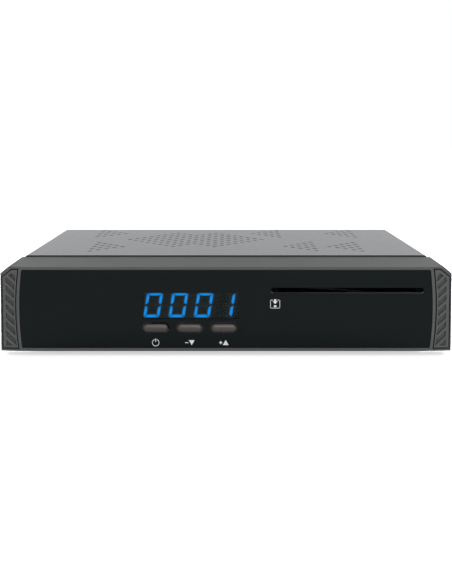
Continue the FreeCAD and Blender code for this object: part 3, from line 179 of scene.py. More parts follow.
# %% [markdown]
# ## Moulded plastics
# The panel, its cheeks and most sockets are ABS or nylon from a steel mould. The mould is
# spark eroded, which prints a fine even grain: it breaks reflections into a satin sheen. Broad,
# hardly visible clouds of tone keep a large face from looking like a computer fill. The real
# grain is about 0.05 mm and too fine for the picture, so it is drawn a few times coarser.

# %% Moulded plastic recipe
def moulded(name, low, high, rough, grit, depth, shine=0.5):
    material, tree, shader = start(name, IOR=1.53, Roughness=rough, Specular_IOR_Level=shine)
    place = add(tree, "TexCoord", {})["Object"]
    fine = add(tree, "TexNoise", {"Vector": place, "Scale": 1 / grit, "Detail": 2.0})["Fac"]
    broad = add(tree, "TexNoise", {"Vector": place, "Scale": 1 / (14 * mm), "Detail": 1.0})["Fac"]
    tone = add(tree, "MixRGB", {"Fac": broad, "Color1": linear(low), "Color2": linear(high)})["Color"]
    sheen = add(tree, "MapRange", {
        "Value": fine, "From Min": 0.3, "From Max": 0.7, "To Min": rough - 0.05, "To Max": rough + 0.05})
    grain = add(tree, "Bump", {"Height": fine, "Distance": depth})
    feed(tree, shader, Base_Color=tone, Roughness=sheen["Result"], Normal=grain["Normal"])
    return material


finishes = {
    "panel_abs": moulded("grey_moulded_abs", "#555656", "#5b5c5c", 0.58, 0.25 * mm, 0.006 * mm, 0.3),
    "key_plastic": moulded("warm_grey_key_abs", "#464140", "#4e4947", 0.3, 0.3 * mm, 0.003 * mm),
    "black_plastic": moulded("black_filled_polyester", "#161617", "#1d1d1e", 0.45, 0.3 * mm, 0.006 * mm),
    "plunger_plastic": moulded("grey_acetal", "#b4b3ae", "#bdbcb7", 0.4, 0.3 * mm, 0.003 * mm),
    "white_plastic": moulded("white_nylon", "#d6d4cc", "#e0ded6", 0.45, 0.3 * mm, 0.004 * mm),
    "chip_epoxy": moulded("black_chip_epoxy", "#202122", "#28292a", 0.6, 0.15 * mm, 0.006 * mm),
    "dark_bar": moulded("unlit_epoxy_bar", "#121618", "#171c1e", 0.4, 0.4 * mm, 0.002 * mm),
    "white_ink": moulded("white_screen_ink", "#f0f0ee", "#fafaf8", 0.6, 0.2 * mm, 0.002 * mm),
    # black tape under the window, and painted shade in its openings
    "tape_and_shade_black": moulded("bond_tape_and_painted_shade", "#050606", "#08090a", 0.9, 0.4 * mm, 0.01 * mm, 0.1),
    # painted shade for the card reader deep in the slot
    "painted_slot_shade": moulded("slot_shade_black_nylon", "#050506", "#08080a", 0.85, 0.3 * mm, 0.006 * mm, 0.08),
    # painted shade for the walls of the vent holes
    "painted_hole_shade": moulded("hole_wall_painted_shade", "#141516", "#191a1b", 0.7, 0.2 * mm, 0.004 * mm, 0.2),
    "cut_edge": moulded("dark_front_sheet_edge", "#2c2d2e", "#343536", 0.6, 0.2 * mm, 0.004 * mm, 0.2),
    # painted highlight for the lower flare of the card slot
    "slot_highlight_grey": moulded("flare_painted_highlight", "#5a5d5e", "#626566", 0.35, 0.3 * mm, 0.002 * mm),
    "ferrite": moulded("sintered_ferrite", "#37373a", "#404043", 0.6, 0.25 * mm, 0.01 * mm),
}
print("plastics", len(finishes))

# %% [markdown]
# ## Rubber
# The feet are nitrile rubber. It is black but never fully dark, because dust and bloom on the
# skin scatter light, and its relief is soft and irregular.

# %% Rubber
material, tree, shader = start("nitrile_rubber", IOR=1.52, Roughness=0.8)
place = add(tree, "TexCoord", {})["Object"]
dust = add(tree, "TexNoise", {"Vector": place, "Scale": 1 / (1.2 * mm), "Detail": 4.0})["Fac"]
tone = add(tree, "MixRGB", {"Fac": dust, "Color1": linear("#1c1c1d"), "Color2": linear("#2e2e2f")})["Color"]
skin = add(tree, "Bump", {"Height": dust, "Distance": 0.02 * mm})["Normal"]
feed(tree, shader, Base_Color=tone, Normal=skin)
finishes["foot_rubber"] = material
print("rubber ready")

# %% [markdown]
# ## Powder coat
# The cover is folded steel with a grey powder coat. The powder melts and flows before it
# sets, and leaves the orange peel that makes a highlight ripple: bumps under a millimetre wide
# and a few hundredths deep. At a flat angle the paint mirrors the pale room, so that it reads
# much lighter towards the rear.

# %% Powder coat
material, tree, shader = start("grey_powder_coat", IOR=1.5, Specular_IOR_Level=0.4)
place = add(tree, "TexCoord", {})["Object"]
peel = add(tree, "TexNoise", {"Vector": place, "Scale": 1 / (0.6 * mm), "Detail": 1.0})["Fac"]
flow = add(tree, "TexNoise", {"Vector": place, "Scale": 1 / (35 * mm), "Detail": 1.0})["Fac"]
tone = add(tree, "MixRGB", {"Fac": flow, "Color1": linear("#606265"), "Color2": linear("#66686b")})["Color"]
gloss = add(tree, "MapRange", {
    "Value": peel, "From Min": 0.3, "From Max": 0.7, "To Min": 0.38, "To Max": 0.46})
skin = add(tree, "Bump", {"Height": peel, "Distance": 0.012 * mm})["Normal"]
feed(tree, shader, Base_Color=tone, Roughness=gloss["Result"], Normal=skin)
finishes["cover_paint"] = material
print("paint ready")

# %% [markdown]
# ## Metals
# Plated and turned metal keeps fine marks from the tool or the roller. They run one way, so
# the noise is stretched along one axis, and they make the gloss uneven rather than the colour.

# %% Plated metal recipe
def plated(name, low, high, rough, mark, along):
    material, tree, shader = start(name, Metallic=1.0, Roughness=rough)
    place = add(tree, "TexCoord", {})["Object"]
    drawn = add(tree, "Mapping", {"Vector": place, "Scale": along})["Vector"]
    marks = add(tree, "TexNoise", {"Vector": drawn, "Scale": 1 / mark, "Detail": 3.0})["Fac"]
    tone = add(tree, "MixRGB", {"Fac": marks, "Color1": linear(low), "Color2": linear(high)})["Color"]
    gloss = add(tree, "MapRange", {
        "Value": marks, "From Min": 0.3, "From Max": 0.7, "To Min": rough - 0.06, "To Max": rough + 0.08})
    relief = add(tree, "Bump", {"Height": marks, "Distance": 0.003 * mm})["Normal"]
    feed(tree, shader, Base_Color=tone, Roughness=gloss["Result"], Normal=relief)
    return material


along_y = (1, 0.1, 1)
along_x = (0.1, 1, 1)
finishes["screw_steel"] = plated("zinc_plated_steel", "#b0b1b0", "#c2c3c2", 0.32, 0.2 * mm, along_y)
finishes["tinned_sheet"] = plated("tinned_steel", "#b4b7b8", "#c8cacb", 0.3, 0.4 * mm, along_x)
finishes["nickel"] = plated("bright_nickel", "#b9b5aa", "#cbc7bd", 0.22, 0.15 * mm, (1, 1, 0.1))
finishes["gold_contact"] = plated("gold_flash", "#c9a24e", "#dcb866", 0.25, 0.15 * mm, along_y)
finishes["sink_aluminium"] = plated("extruded_aluminium", "#c4c5c6", "#d4d5d6", 0.36, 0.2 * mm, along_y)
print("metals", [name for name in finishes if finishes[name].name.endswith("steel")])

# %% [markdown]
# ## Galvanised steel
# The tray is zinc-coated sheet. Zinc freezes in flat crystals a few millimetres across, each
# with its own tone and gloss, which gives the pale patchwork of such sheet.

# %% Galvanised steel
material, tree, shader = start("galvanised_steel", Metallic=1.0)
place = add(tree, "TexCoord", {})["Object"]
crystal = add(tree, "TexVoronoi", {"Vector": place, "Scale": 1 / (4 * mm)})["Color"]
share = add(tree, "SeparateColor", {"Color": crystal})["Red"]
rolled = add(tree, "Mapping", {"Vector": place, "Scale": along_x})["Vector"]
lines = add(tree, "TexNoise", {"Vector": rolled, "Scale": 1 / (0.4 * mm), "Detail": 3.0})["Fac"]
tone = add(tree, "MixRGB", {"Fac": share, "Color1": linear("#abafb2"), "Color2": linear("#c0c3c5")})["Color"]
gloss = add(tree, "MapRange", {"Value": share, "To Min": 0.34, "To Max": 0.46})["Result"]
skin = add(tree, "Bump", {"Height": lines, "Distance": 0.004 * mm})["Normal"]
feed(tree, shader, Base_Color=tone, Roughness=gloss, Normal=skin)
finishes["tray_steel"] = material
print("tray ready")

# %% [markdown]
# ## Circuit board
# Green solder mask over a glass weave: a glossy lacquer in which the crossing threads, about
# half a millimetre apart, show as a faint grid.

# %% Solder mask
material, tree, shader = start("green_solder_mask", IOR=1.55, Roughness=0.35)
place = add(tree, "TexCoord", {})["Object"]
thread = 0.5 * mm
warp = add(tree, "TexWave", {"Vector": place, "Scale": 1 / (20 * thread) * 6.28, "Distortion": 0.4})["Fac"]
cloud = add(tree, "TexNoise", {"Vector": place, "Scale": 1 / (8 * mm)})["Fac"]
both = add(tree, "Math", {0: warp, 1: cloud}, operation="MULTIPLY")[0]
tone = add(tree, "MixRGB", {"Fac": both, "Color1": linear("#12452a"), "Color2": linear("#1c6139")})["Color"]
skin = add(tree, "Bump", {"Height": warp, "Distance": 0.004 * mm})["Normal"]
feed(tree, shader, Base_Color=tone, Normal=skin)
finishes["board_laminate"] = material
print("board ready")

# %% [markdown]
# ## Smoked window
# The window is cast acrylic, tinted nearly black with a trace of green. It is polished, so its
# only pattern is a very slow waviness. Over the display the tint is thinner and lets the light
# of the figures through; elsewhere a black coat on its back hides the inside.

# %% Smoked acrylic
module_low, module_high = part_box("display_module")
material, tree, shader = start("smoked_acrylic", IOR=1.49, Specular_IOR_Level=0.12)
place = add(tree, "TexCoord", {})["Object"]
wave = add(tree, "TexNoise", {"Vector": place, "Scale": 1 / (40 * mm), "Detail": 0.0})["Fac"]
tone = add(tree, "MixRGB", {"Fac": wave, "Color1": linear("#111818"), "Color2": linear("#131a1a")})["Color"]
gloss = add(tree, "MapRange", {"Value": wave, "To Min": 0.05, "To Max": 0.1})["Result"]
skin = add(tree, "Bump", {"Height": wave, "Distance": 0.02 * mm})["Normal"]
feed(tree, shader, Base_Color=tone, Roughness=gloss, Normal=skin)
view_middle = (module_low + module_high) / 2 + Vector((0, 0, 0.15 * mm))
view_half = (module_high - module_low) / 2 - Vector((1.0 * mm, 0, 0.3 * mm))
centred = add(tree, "VectorMath", {0: place, 1: view_middle}, operation="SUBTRACT")["Vector"]
apart = add(tree, "SeparateXYZ", {"Vector": centred})
clear, fade = None, 0.4 * mm
for axis, half in (("X", view_half.x), ("Z", view_half.z)):
    reach = add(tree, "Math", {0: apart[axis]}, operation="ABSOLUTE")[0]
    inside = add(tree, "MapRange", {
        "Value": reach, "From Min": half - fade, "From Max": half, "To Min": 1.0, "To Max": 0.0})["Result"]
    clear = inside if clear is None else add(tree, "Math", {0: clear, 1: inside}, operation="MULTIPLY")[0]
share = add(tree, "Math", {0: clear, 1: 0.85}, operation="MULTIPLY")[0]
through = add(tree, "BsdfTransparent", {"Color": linear("#e8eef2")})[0]
mix = add(tree, "MixShader", {0: share, 1: shader.outputs[0], 2: through})[0]
tree.links.new(mix, tree.nodes["Material Output"].inputs["Surface"])
finishes["window_acrylic"] = material
print("window clears over", round(view_half.x * 2 / mm, 1), "by", round(view_half.z * 2 / mm, 1), "mm")

# %% [markdown]
# ## Lit figures
# Each bar of a figure is a milky light guide over one blue diode. It is brightest in the middle
# and falls off to its ends and sides, which a map from the bar's own length and width gives.

# %% Blue light guide
material, tree, shader = start("blue_light_guide", Base_Color=linear("#02080c"), Roughness=0.5,
                               Emission_Strength=1.4)
along = add(tree, "SeparateXYZ", {"Vector": add(tree, "TexCoord", {})["UV"]})
fall = None
for axis, weight in (("X", 0.55), ("Y", 0.45)):
    off = add(tree, "Math", {0: along[axis], 1: 0.5}, operation="SUBTRACT")[0]
    square = add(tree, "Math", {0: off, 1: off}, operation="MULTIPLY")[0]
    lost = add(tree, "Math", {0: square, 1: 4 * weight}, operation="MULTIPLY")[0]
    fall = lost if fall is None else add(tree, "Math", {0: fall, 1: lost}, operation="ADD", use_clamp=True)[0]
tone = add(tree, "MixRGB", {"Fac": fall, "Color1": linear("#00a4ff"), "Color2": linear("#000861")})["Color"]
feed(tree, shader, Emission_Color=tone)
finishes["lit_blue"] = material
print("light guide ready")

# %% Dress every loaded piece
slot_of = {row["node"]: row["material_slot"] for row in frame["record"]["subparts"]}
for name, piece in nodes.items():
    piece.data.materials.clear()
    piece.data.materials.append(finishes[slot_of[name]])
# The card reader body turns near black: painted shade, so that its mouth reads dark inside the slot.
nodes["card_reader_body"].data.materials[0] = finishes["painted_slot_shade"]
print("dressed", len(slot_of), "slots", len(set(slot_of.values())), "finishes", len(finishes))

# %% [markdown]
# ## Modelling by hand, in code
# In edit mode an operator acts on all that is selected, so each step first chooses faces,
# edges or points by their place. These helpers do that, and the usual closing steps.

# %% Selection and closing helpers
def only(piece):
    """Leave edit mode and make a piece the only selected one."""
    if bpy.context.object and bpy.context.object.mode == "EDIT":
        bpy.ops.object.mode_set(mode="OBJECT")
    bpy.ops.object.select_all(action="DESELECT")
    piece.select_set(True)
    bpy.context.view_layer.objects.active = piece


def choose(piece, kind, test):
    """Enter edit mode with the VERT, EDGE or FACE items selected whose middle passes a test."""
    only(piece)
    mesh = piece.data
    groups = {"VERT": mesh.vertices, "EDGE": mesh.edges, "FACE": mesh.polygons}
    for group in groups.values():
        group.foreach_set("select", [False] * len(group))
    points = [v.co for v in mesh.vertices]
    for item in groups[kind]:
        corners = [points[item.index]] if kind == "VERT" else [points[i] for i in item.vertices]
        item.select = bool(test(corners))
    bpy.context.tool_settings.mesh_select_mode = [kind == name for name in groups]
    bpy.ops.object.mode_set(mode="EDIT")


def level(corners, axis, value, slack=0.001 * mm):
    """Whether all corners lie at one value of an axis."""
    return all(abs(corner[axis] - value) < slack for corner in corners)


def apply(piece, kind, **settings):
    """Add a modifier to a piece and apply it."""
    only(piece)
    modifier = piece.modifiers.new(kind.lower(), kind)
    for name, value in settings.items():
        setattr(modifier, name, value)
    bpy.ops.object.modifier_apply(modifier=modifier.name)


def combine(piece, tool, way):
    """Cut a tool out of a piece, or unite the two; the tool is used up."""
    apply(piece, "BOOLEAN", operation=way, solver="EXACT", object=tool)
    bpy.data.objects.remove(tool)


def soften(piece, width, segments=3, angle=28):
    """Round the sharp edges, and keep large faces flat in the shading."""
    apply(piece, "BEVEL", width=width, segments=segments, limit_method="ANGLE",
          angle_limit=math.radians(angle), miter_outer="MITER_ARC", use_clamp_overlap=True)
    only(piece)
    bpy.ops.object.shade_smooth_by_angle(angle=math.radians(40))
    apply(piece, "WEIGHTED_NORMAL", keep_sharp=True)


def settle(piece, name, slot, *stands_for, body="case", finish=None):
    """Name a finished piece, dress it, hang it under its body and hide the loaded pieces it stands for."""
    only(piece)
    bpy.ops.object.transform_apply(location=True, rotation=True, scale=True)
    piece.name = piece.data.name = name
    piece.data.materials.clear()
    piece.data.materials.append(finish or finishes[slot])
    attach(piece, body)
    if stands_for:
        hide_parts(*stands_for)
    print(name, "faces", len(piece.data.polygons))


def paint(piece, finish, test):
    """Give a second finish to the faces of a settled piece whose corners pass a test."""
    if finishes[finish].name not in piece.data.materials:
        piece.data.materials.append(finishes[finish])
    number = piece.data.materials.find(finishes[finish].name)
    points = [v.co for v in piece.data.vertices]
    for face in piece.data.polygons:
        if test([points[i] for i in face.vertices], face.normal):
            face.material_index = number


def together(pieces):
    """Join pieces into the first one."""
    only(pieces[0])
    for piece in pieces:
        piece.select_set(True)
    bpy.ops.object.join()
    return pieces[0]


def copy_of(piece, place):
    """Copy of a piece with a mesh of its own, moved by a matrix."""
    twin = piece.copy()
    twin.data = piece.data.copy()
    twin.data.transform(place)
    bpy.context.scene.collection.objects.link(twin)
    return twin


def block(low, high):
    """Cube primitive stretched between two corners."""
    size = [b - a for a, b in zip(low, high)]
    bpy.ops.mesh.primitive_cube_add(size=1, location=[a + s / 2 for a, s in zip(low, size)])
    bpy.ops.transform.resize(value=size)
    bpy.ops.object.transform_apply(location=True, rotation=True, scale=True)
    return bpy.context.object


def pill(width, height, x, z, y0, y1, sides=40):
    """Bar with half-round ends: a cylinder along Y whose two halves are moved apart."""
    bpy.ops.mesh.primitive_cylinder_add(
        vertices=sides, radius=height / 2, depth=y1 - y0, location=(x, (y0 + y1) / 2, z),
        rotation=(math.pi / 2, math.pi / sides, 0))
    bpy.ops.object.transform_apply(location=True, rotation=True, scale=True)
    piece = bpy.context.object
    for side in (-1, 1):
        choose(piece, "VERT", lambda c: (c[0].x - x) * side > 0)
        bpy.ops.transform.translate(value=(side * (width - height) / 2, 0, 0))
    only(piece)
    return piece


print("helpers ready")

# %% [markdown]
# ## Panel and cheeks
# The front panel carries bosses, hooks and a tongue that are already right. Only its edges are
# too sharp: a mould leaves them with a radius of a few tenths of a millimetre, which catches
# the thin lines of light round the panel. A merged copy gets that radius from a bevel.

# %% Copies with moulded edges
def refined(node, width, segments=3, angle=28):
    """Merged copy of a loaded piece with rounded edges."""
    piece = bpy.data.objects.new(node + "_copy", nodes[node].data.copy())
    bpy.context.scene.collection.objects.link(piece)
    only(piece)
    bpy.ops.object.mode_set(mode="EDIT")
    bpy.ops.mesh.select_all(action="SELECT")
    bpy.ops.mesh.remove_doubles(threshold=0.0005 * mm)
    bpy.ops.mesh.dissolve_limited(angle_limit=math.radians(0.4))
    soften(piece, width, segments, angle)
    return piece


panel = refined("front_bezel", 0.25 * mm)
settle(panel, "panel_moulding", "panel_abs", "front_bezel")
for side in ("left", "right"):
    settle(refined(side + "_cheek", 0.1 * mm), side + "_textured_cheek", "panel_abs", side + "_cheek")

# %% [markdown]
# The window is bonded to the panel with black tape, a second finish on the faces under it.
# The same near black also goes on the walls inside the openings and round the card slot:
# painted shade, which keeps them dark where they show through.

# %% Black tape behind the window, and painted shade in its openings
black_zone_front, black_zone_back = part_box("front_window")[1].y - 0.1 * mm, -61.3 * mm
paint(panel, "tape_and_shade_black", lambda c, n: all(
    black_zone_front < p.y < black_zone_back and abs(p.x) < 82.6 * mm and 3.1 * mm < p.z < 34.8 * mm for p in c))
# Front faces of the backing, seen through the openings: painted shade.
paint(panel, "tape_and_shade_black", lambda c, n: n.y < -0.9 and all(
    -61.6 * mm < p.y < -61 * mm and 2.5 * mm < p.z < 37.5 * mm for p in c))
# Walls deep inside the card slot: painted shade.
paint(panel, "tape_and_shade_black", lambda c, n: all(
    p.y < -56 * mm and 16 * mm < p.x < 80.5 * mm and 24 * mm < p.z < 29 * mm for p in c))
print("tape and painted shade faces", sum(face.material_index for face in panel.data.polygons))

# %% [markdown]
# ## Window
# A sheet 1.6 mm thick with small round corners and ends that bulge by 0.9 mm. It starts as a cube.
# The corners are bevelled, the ends are subdivided and widened row by row along a shallow arc,
# and four openings are cut. The card slot's mouth is flared, so that a card finds its way.

# %% Window blank
pane_low, pane_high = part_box("front_window")
pane_bulge = 0.91 * mm
pane_end = pane_high.x - pane_bulge
pane_corner = 0.4 * mm
window = block((-pane_end, pane_low.y, pane_low.z), (pane_end, pane_high.y, pane_high.z))
choose(window, "EDGE", lambda c: abs(c[0].y - c[1].y) > 1 * mm)
bpy.ops.mesh.bevel(offset=pane_corner, segments=6, affect="EDGES")
choose(window, "EDGE", lambda c: abs(c[0].z - c[1].z) > 20 * mm)
bpy.ops.mesh.subdivide(number_cuts=23)
only(window)
middle_z = (pane_low.z + pane_high.z) / 2
half_rise = (pane_high.z - pane_low.z) / 2 - pane_corner
for row in sorted({round(v.co.z, 6) for v in window.data.vertices}):
    share = 1 - ((row - middle_z) / half_rise) ** 2
    if share > 0.01:
        choose(window, "VERT", lambda c: abs(c[0].z - row) < 0.002 * mm)
        bpy.ops.transform.resize(value=(1 + pane_bulge * share / pane_end, 1, 1), center_override=(0, 0, row))
only(window)
print("half width", round(max(v.co.x for v in window.data.vertices) / mm, 2))

# %% Openings in the window
keys = ("power", "channel_down", "channel_up")
for key in keys:
    low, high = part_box(key + "_button")
    key_x, key_z = (low.x + high.x) / 2, (low.z + high.z) / 2
    hole = pill(10.9 * mm, 4.5 * mm, key_x, key_z, pane_low.y - 1 * mm, pane_high.y + 1 * mm)
    combine(window, hole, "DIFFERENCE")
slot_x, slot_z = 48.4 * mm, 26.4 * mm
slot_width, slot_height = 60.8 * mm, 1.9 * mm
slot_cut = pill(slot_width, slot_height, slot_x, slot_z, pane_low.y - 1 * mm, pane_high.y + 1 * mm)
combine(window, slot_cut, "DIFFERENCE")
choose(window, "EDGE", lambda c: level(c, 1, pane_low.y) and abs(c[0].z - slot_z) < 1.1 * mm
       and abs(c[1].z - slot_z) < 1.1 * mm and abs(c[0].x - slot_x) < 31 * mm)
bpy.ops.mesh.bevel(offset=0.25 * mm, segments=3, affect="EDGES")
soften(window, 0.12 * mm, 2)
settle(window, "smoked_window", "window_acrylic", "front_window")
# The lower, upward facing side of the slot's flare is a lighter grey: a painted highlight.
paint(window, "slot_highlight_grey", lambda c, n: 0.25 < n.z and n.y < -0.2 and all(
    25.1 * mm < p.z < 26.4 * mm and p.x > 17 * mm and p.y < -64.25 * mm for p in c))

# %% [markdown]
# ## Keys
# Each key is a lacquered bar with half-round ends and a crowned face, so that a finger feels its
# middle and light runs along it. Behind the window a wider flange keeps it in, and a round
# stem reaches the switch. The crown is a series of insets, each raised a little less.

# %% Model one key, then copy it
def make_key(low, high):
    x, z = (low.x + high.x) / 2, (low.z + high.z) / 2
    crown_in, crown_rise, steps = 1.5 * mm, 1.1 * mm, 9
    flange_front = -62.9 * mm
    cap = pill(9.9 * mm, 3.4 * mm, x, z, low.y + crown_rise, flange_front)
    choose(cap, "FACE", lambda c: level(c, 1, low.y + crown_rise))
    turns = [math.pi / 2 * i / steps for i in range(steps + 1)]
    for a, b in zip(turns, turns[1:]):
        bpy.ops.mesh.inset(thickness=crown_in * (math.cos(a) - math.cos(b)),
                           depth=crown_rise * (math.sin(b) - math.sin(a)))
    only(cap)
    combine(cap, pill(11.7 * mm, 5.3 * mm, x, z, flange_front, flange_front + 1 * mm), "UNION")
    stem_front = flange_front + 0.9 * mm
    bpy.ops.mesh.primitive_cylinder_add(
        vertices=32, radius=1.3 * mm, depth=high.y - stem_front, rotation=(math.pi / 2, 0, 0),
        location=(x, (stem_front + high.y) / 2, z))
    combine(cap, bpy.context.object, "UNION")
    soften(cap, 0.08 * mm, 2, 40)
    return cap


first_low, first_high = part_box("power_button")
pattern = make_key(first_low, first_high)
for key in keys:
    cap = copy_of(pattern, Matrix.Translation((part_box(key + "_button")[0].x - first_low.x, 0, 0)))
    settle(cap, key + "_cap", "key_plastic", key + "_button", body=key + "_key")
bpy.data.objects.remove(pattern)

# %% [markdown]
# ## Figures of the display
# The display shows the channel 0001. The six bars round a figure are trapezoids: long outside,
# short inside, with mitred ends. One bar is a cube whose two inner ends are pushed together;
# it is laid along its side of the figure, and the whole figure leans over by 9.5 degrees. Each
# bar carries a map of its own length and width for the glow.

# %% Model and lay out the bars
digit_height, digit_width, bar_width, bar_depth = 10.1 * mm, 6.5 * mm, 1.2 * mm, 0.25 * mm
end_gap, mitre, short_mitre = 0.22 * mm, 1.1 * mm, 0.7 * mm
lean = math.tan(math.radians(9.5))
slant = Matrix(((1, 0, lean, 0), (0, 1, 0, 0), (0, 0, 1, 0), (0, 0, 0, 1)))
module_x = (module_low.x + module_high.x) / 2
figure_z = (module_low.z + module_high.z) / 2
figure_x = [module_x + (i - 1.5) * 10.13 * mm for i in range(4)]
figure_x[3] -= 1.25 * mm
shown = ["abcdef", "abcdef", "abcdef", "bc"]
side_x, side_z = digit_width / 2, digit_height / 2
sides = {
    "a": (-side_x, side_z, side_x, side_z, mitre, mitre),
    "b": (side_x, side_z, side_x, 0, mitre, short_mitre),
    "c": (side_x, 0, side_x, -side_z, short_mitre, mitre),
    "d": (side_x, -side_z, -side_x, -side_z, mitre, mitre),
    "e": (-side_x, -side_z, -side_x, 0, mitre, short_mitre),
    "f": (-side_x, 0, -side_x, side_z, short_mitre, mitre),
    "g": (bar_width - side_x, bar_width / 2, side_x - bar_width, bar_width / 2, 0, 0)}
unlit = ["g", "g", "g", "adefg"]


def make_bar(x0, z0, x1, z1, cut_start, cut_end, x):
    """Bar whose outer edge runs clockwise along one side of the figure at x."""
    length = math.hypot(x1 - x0, z1 - z0)
    bar = block((end_gap, module_low.y - bar_depth, -bar_width), (length - end_gap, module_low.y, 0))
    for near, move in ((True, cut_start), (False, -cut_end)):
        choose(bar, "VERT", lambda c: c[0].z < -bar_width / 2 and (c[0].x < length / 2) == near)
        bpy.ops.transform.translate(value=(move, 0, 0))
    choose(bar, "EDGE", lambda c: abs(c[0].y - c[1].y) > bar_depth / 2)
    bpy.ops.mesh.bevel(offset=0.26 * mm, segments=3, affect="EDGES")
    only(bar)
    uv = bar.data.uv_layers[0] if bar.data.uv_layers else bar.data.uv_layers.new(name="bar_map")
    for loop in bar.data.loops:
        point = bar.data.vertices[loop.vertex_index].co
        uv.data[loop.index].uv = (point.x / length, point.z / bar_width + 1)
    turn = Matrix.Rotation(-math.atan2(z1 - z0, x1 - x0), 4, "Y")
    shift = Matrix.Translation((x0, 0, z0))
    bar.data.transform(Matrix.Translation((x, 0, figure_z)) @ slant @ shift @ turn)
    return bar


bars = together([make_bar(*sides[name], x) for x, names in zip(figure_x, shown) for name in names])
settle(bars, "lit_bars", "lit_blue", "lit_segments")

# %% [markdown]
# The face of the display is a diffusing film. Its grey is a painted glow of even strength that no
# lamp gives, and round each lit bar the painted glow grows, less and less over two millimetres.
# The film is a fine grid, and each of its points keeps how much of that glow it gets in an
# attribute that the finish reads.

# %% Film with a halo
film_half_x, film_half_z, film_y = 19.9 * mm, 5.6 * mm, module_low.y - 0.02 * mm
bpy.ops.mesh.primitive_grid_add(x_subdivisions=132, y_subdivisions=38, size=2,
                                location=(module_x, film_y, figure_z), rotation=(math.pi / 2, 0, 0))
film = bpy.context.object
bpy.ops.transform.resize(value=(film_half_x, 1, film_half_z))
bpy.ops.object.transform_apply(location=True, rotation=True, scale=True)
cores = []
for x, names in zip(figure_x, shown):
    for x0, z0, x1, z1, cut_start, cut_end in (sides[name] for name in names):
        inward = bar_width / 2 / math.hypot(x1 - x0, z1 - z0)
        shift_x, shift_z = (z1 - z0) * inward, -(x1 - x0) * inward
        ends = [(x + px + shift_x + (pz + shift_z) * lean, pz + shift_z) for px, pz in ((x0, z0), (x1, z1))]
        cores.append((Vector(ends[0]), Vector(ends[1])))


def spread_halo(piece):
    """Store at each point of a piece how much of the bars' glow reaches it."""
    halo = piece.data.attributes.new("halo", "FLOAT", "POINT")
    for vertex in piece.data.vertices:
        point = Vector((vertex.co.x, vertex.co.z - figure_z))
        near = 1.0
        for a, b in cores:
            share = min(1.0, max(0.0, (point - a).dot(b - a) / (b - a).length_squared))
            near = min(near, (point - a.lerp(b, share)).length)
        halo.data[vertex.index].value = math.exp(-max(0.0, near - bar_width / 2) / (1.0 * mm))


material, tree, shader = start("film_with_painted_glow", Roughness=0.7, Specular_IOR_Level=0.1,
                               Emission_Strength=1.0)
place = add(tree, "TexCoord", {})["Object"]
grit = add(tree, "TexNoise", {"Vector": place, "Scale": 1 / (0.3 * mm)})["Fac"]
tone = add(tree, "MixRGB", {"Fac": grit, "Color1": linear("#0b0c0c"), "Color2": linear("#0e1010")})["Color"]
glow = add(tree, "Attribute", {}, attribute_name="halo")["Fac"]
light = add(tree, "MixRGB", {"Fac": glow, "Color1": linear("#202423"), "Color2": linear("#353936")})["Color"]
feed(tree, shader, Base_Color=tone, Emission_Color=light)
finishes["halo_film"] = material
spread_halo(film)
settle(film, "display_film", "dark_bar", finish=material)
# The unlit bars take the film's finish too, with its painted glow.
dark_bars = together([make_bar(*sides[name], x) for x, names in zip(figure_x, unlit) for name in names])
spread_halo(dark_bars)
settle(dark_bars, "unlit_bars", "dark_bar", "dark_segments", finish=material)

# %% [markdown]
# ## White print
# Under the keys the window carries small printed signs: a power sign, and minus and plus with
# arrows. Print is a film a few hundredths of a millimetre thick, so the signs are thin plates
# that stand on the window. Beside the card slot a small sign shows a card and its way in.

# %% Printed signs
ink = 0.03 * mm
print_y = pane_low.y


def stroke(x, z, width, height):
    """Printed bar of a width and height, standing on the window at x, z."""
    bar = block((x - width / 2, print_y - ink, z - height / 2), (x + width / 2, print_y, z + height / 2))
    choose(bar, "EDGE", lambda c: abs(c[0].y - c[1].y) > ink / 2)
    bpy.ops.mesh.bevel(offset=0.04 * mm, segments=2, affect="EDGES")
    only(bar)
    return bar


def arrow(x, z, width, height, up):
    """Printed triangle: a bar whose one end is drawn together to a point."""
    tip = block((x - width / 2, print_y - ink, z - height / 2), (x + width / 2, print_y, z + height / 2))
    choose(tip, "VERT", lambda c: (c[0].z > z) == up)
    bpy.ops.transform.resize(value=(0.02, 1, 1), center_override=(x, print_y, z))
    only(tip)
    return tip


sign_z = 5.35 * mm
power_x, down_x, up_x = [sum(corner.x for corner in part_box(key + "_button")) / 2 for key in keys]
ring_size, ring_hole, hair = 2.9 * mm, 2.42 * mm, 1e-7
ring = pill(ring_size, ring_size - hair, power_x, sign_z, print_y - ink, print_y)
ring_punch = pill(ring_hole, ring_hole - hair, power_x, sign_z, print_y - 1 * mm, print_y + 1 * mm)
combine(ring, ring_punch, "DIFFERENCE")
combine(ring, block((power_x - 0.4 * mm, print_y - 1 * mm, sign_z),
                    (power_x + 0.4 * mm, print_y + 1 * mm, sign_z + 3 * mm)), "DIFFERENCE")
mark, tip_width, tip_height = 0.34 * mm, 2.3 * mm, 2.0 * mm
signs = [ring, stroke(power_x, sign_z + 0.95 * mm, 0.28 * mm, 1.35 * mm)]
for x, width, up in ((down_x, 1.2 * mm, False), (up_x, 1.3 * mm, True)):
    signs += [stroke(x - 1.2 * mm, sign_z, width, mark),
              arrow(x + 0.8 * mm, sign_z, tip_width, tip_height, up)]
for side in (1, -1):
    signs.append(stroke(up_x - 1.2 * mm, sign_z + side * 0.41 * mm, mark, 0.48 * mm))
card_x, card_z, line = 19.6 * mm, 20.9 * mm, 0.2 * mm
for side in (-1, 1):
    signs += [stroke(card_x + side * 1.85 * mm, card_z, line, 3.0 * mm),
              stroke(card_x + side * 1.3 * mm, card_z + 1.6 * mm, 0.9 * mm, line)]
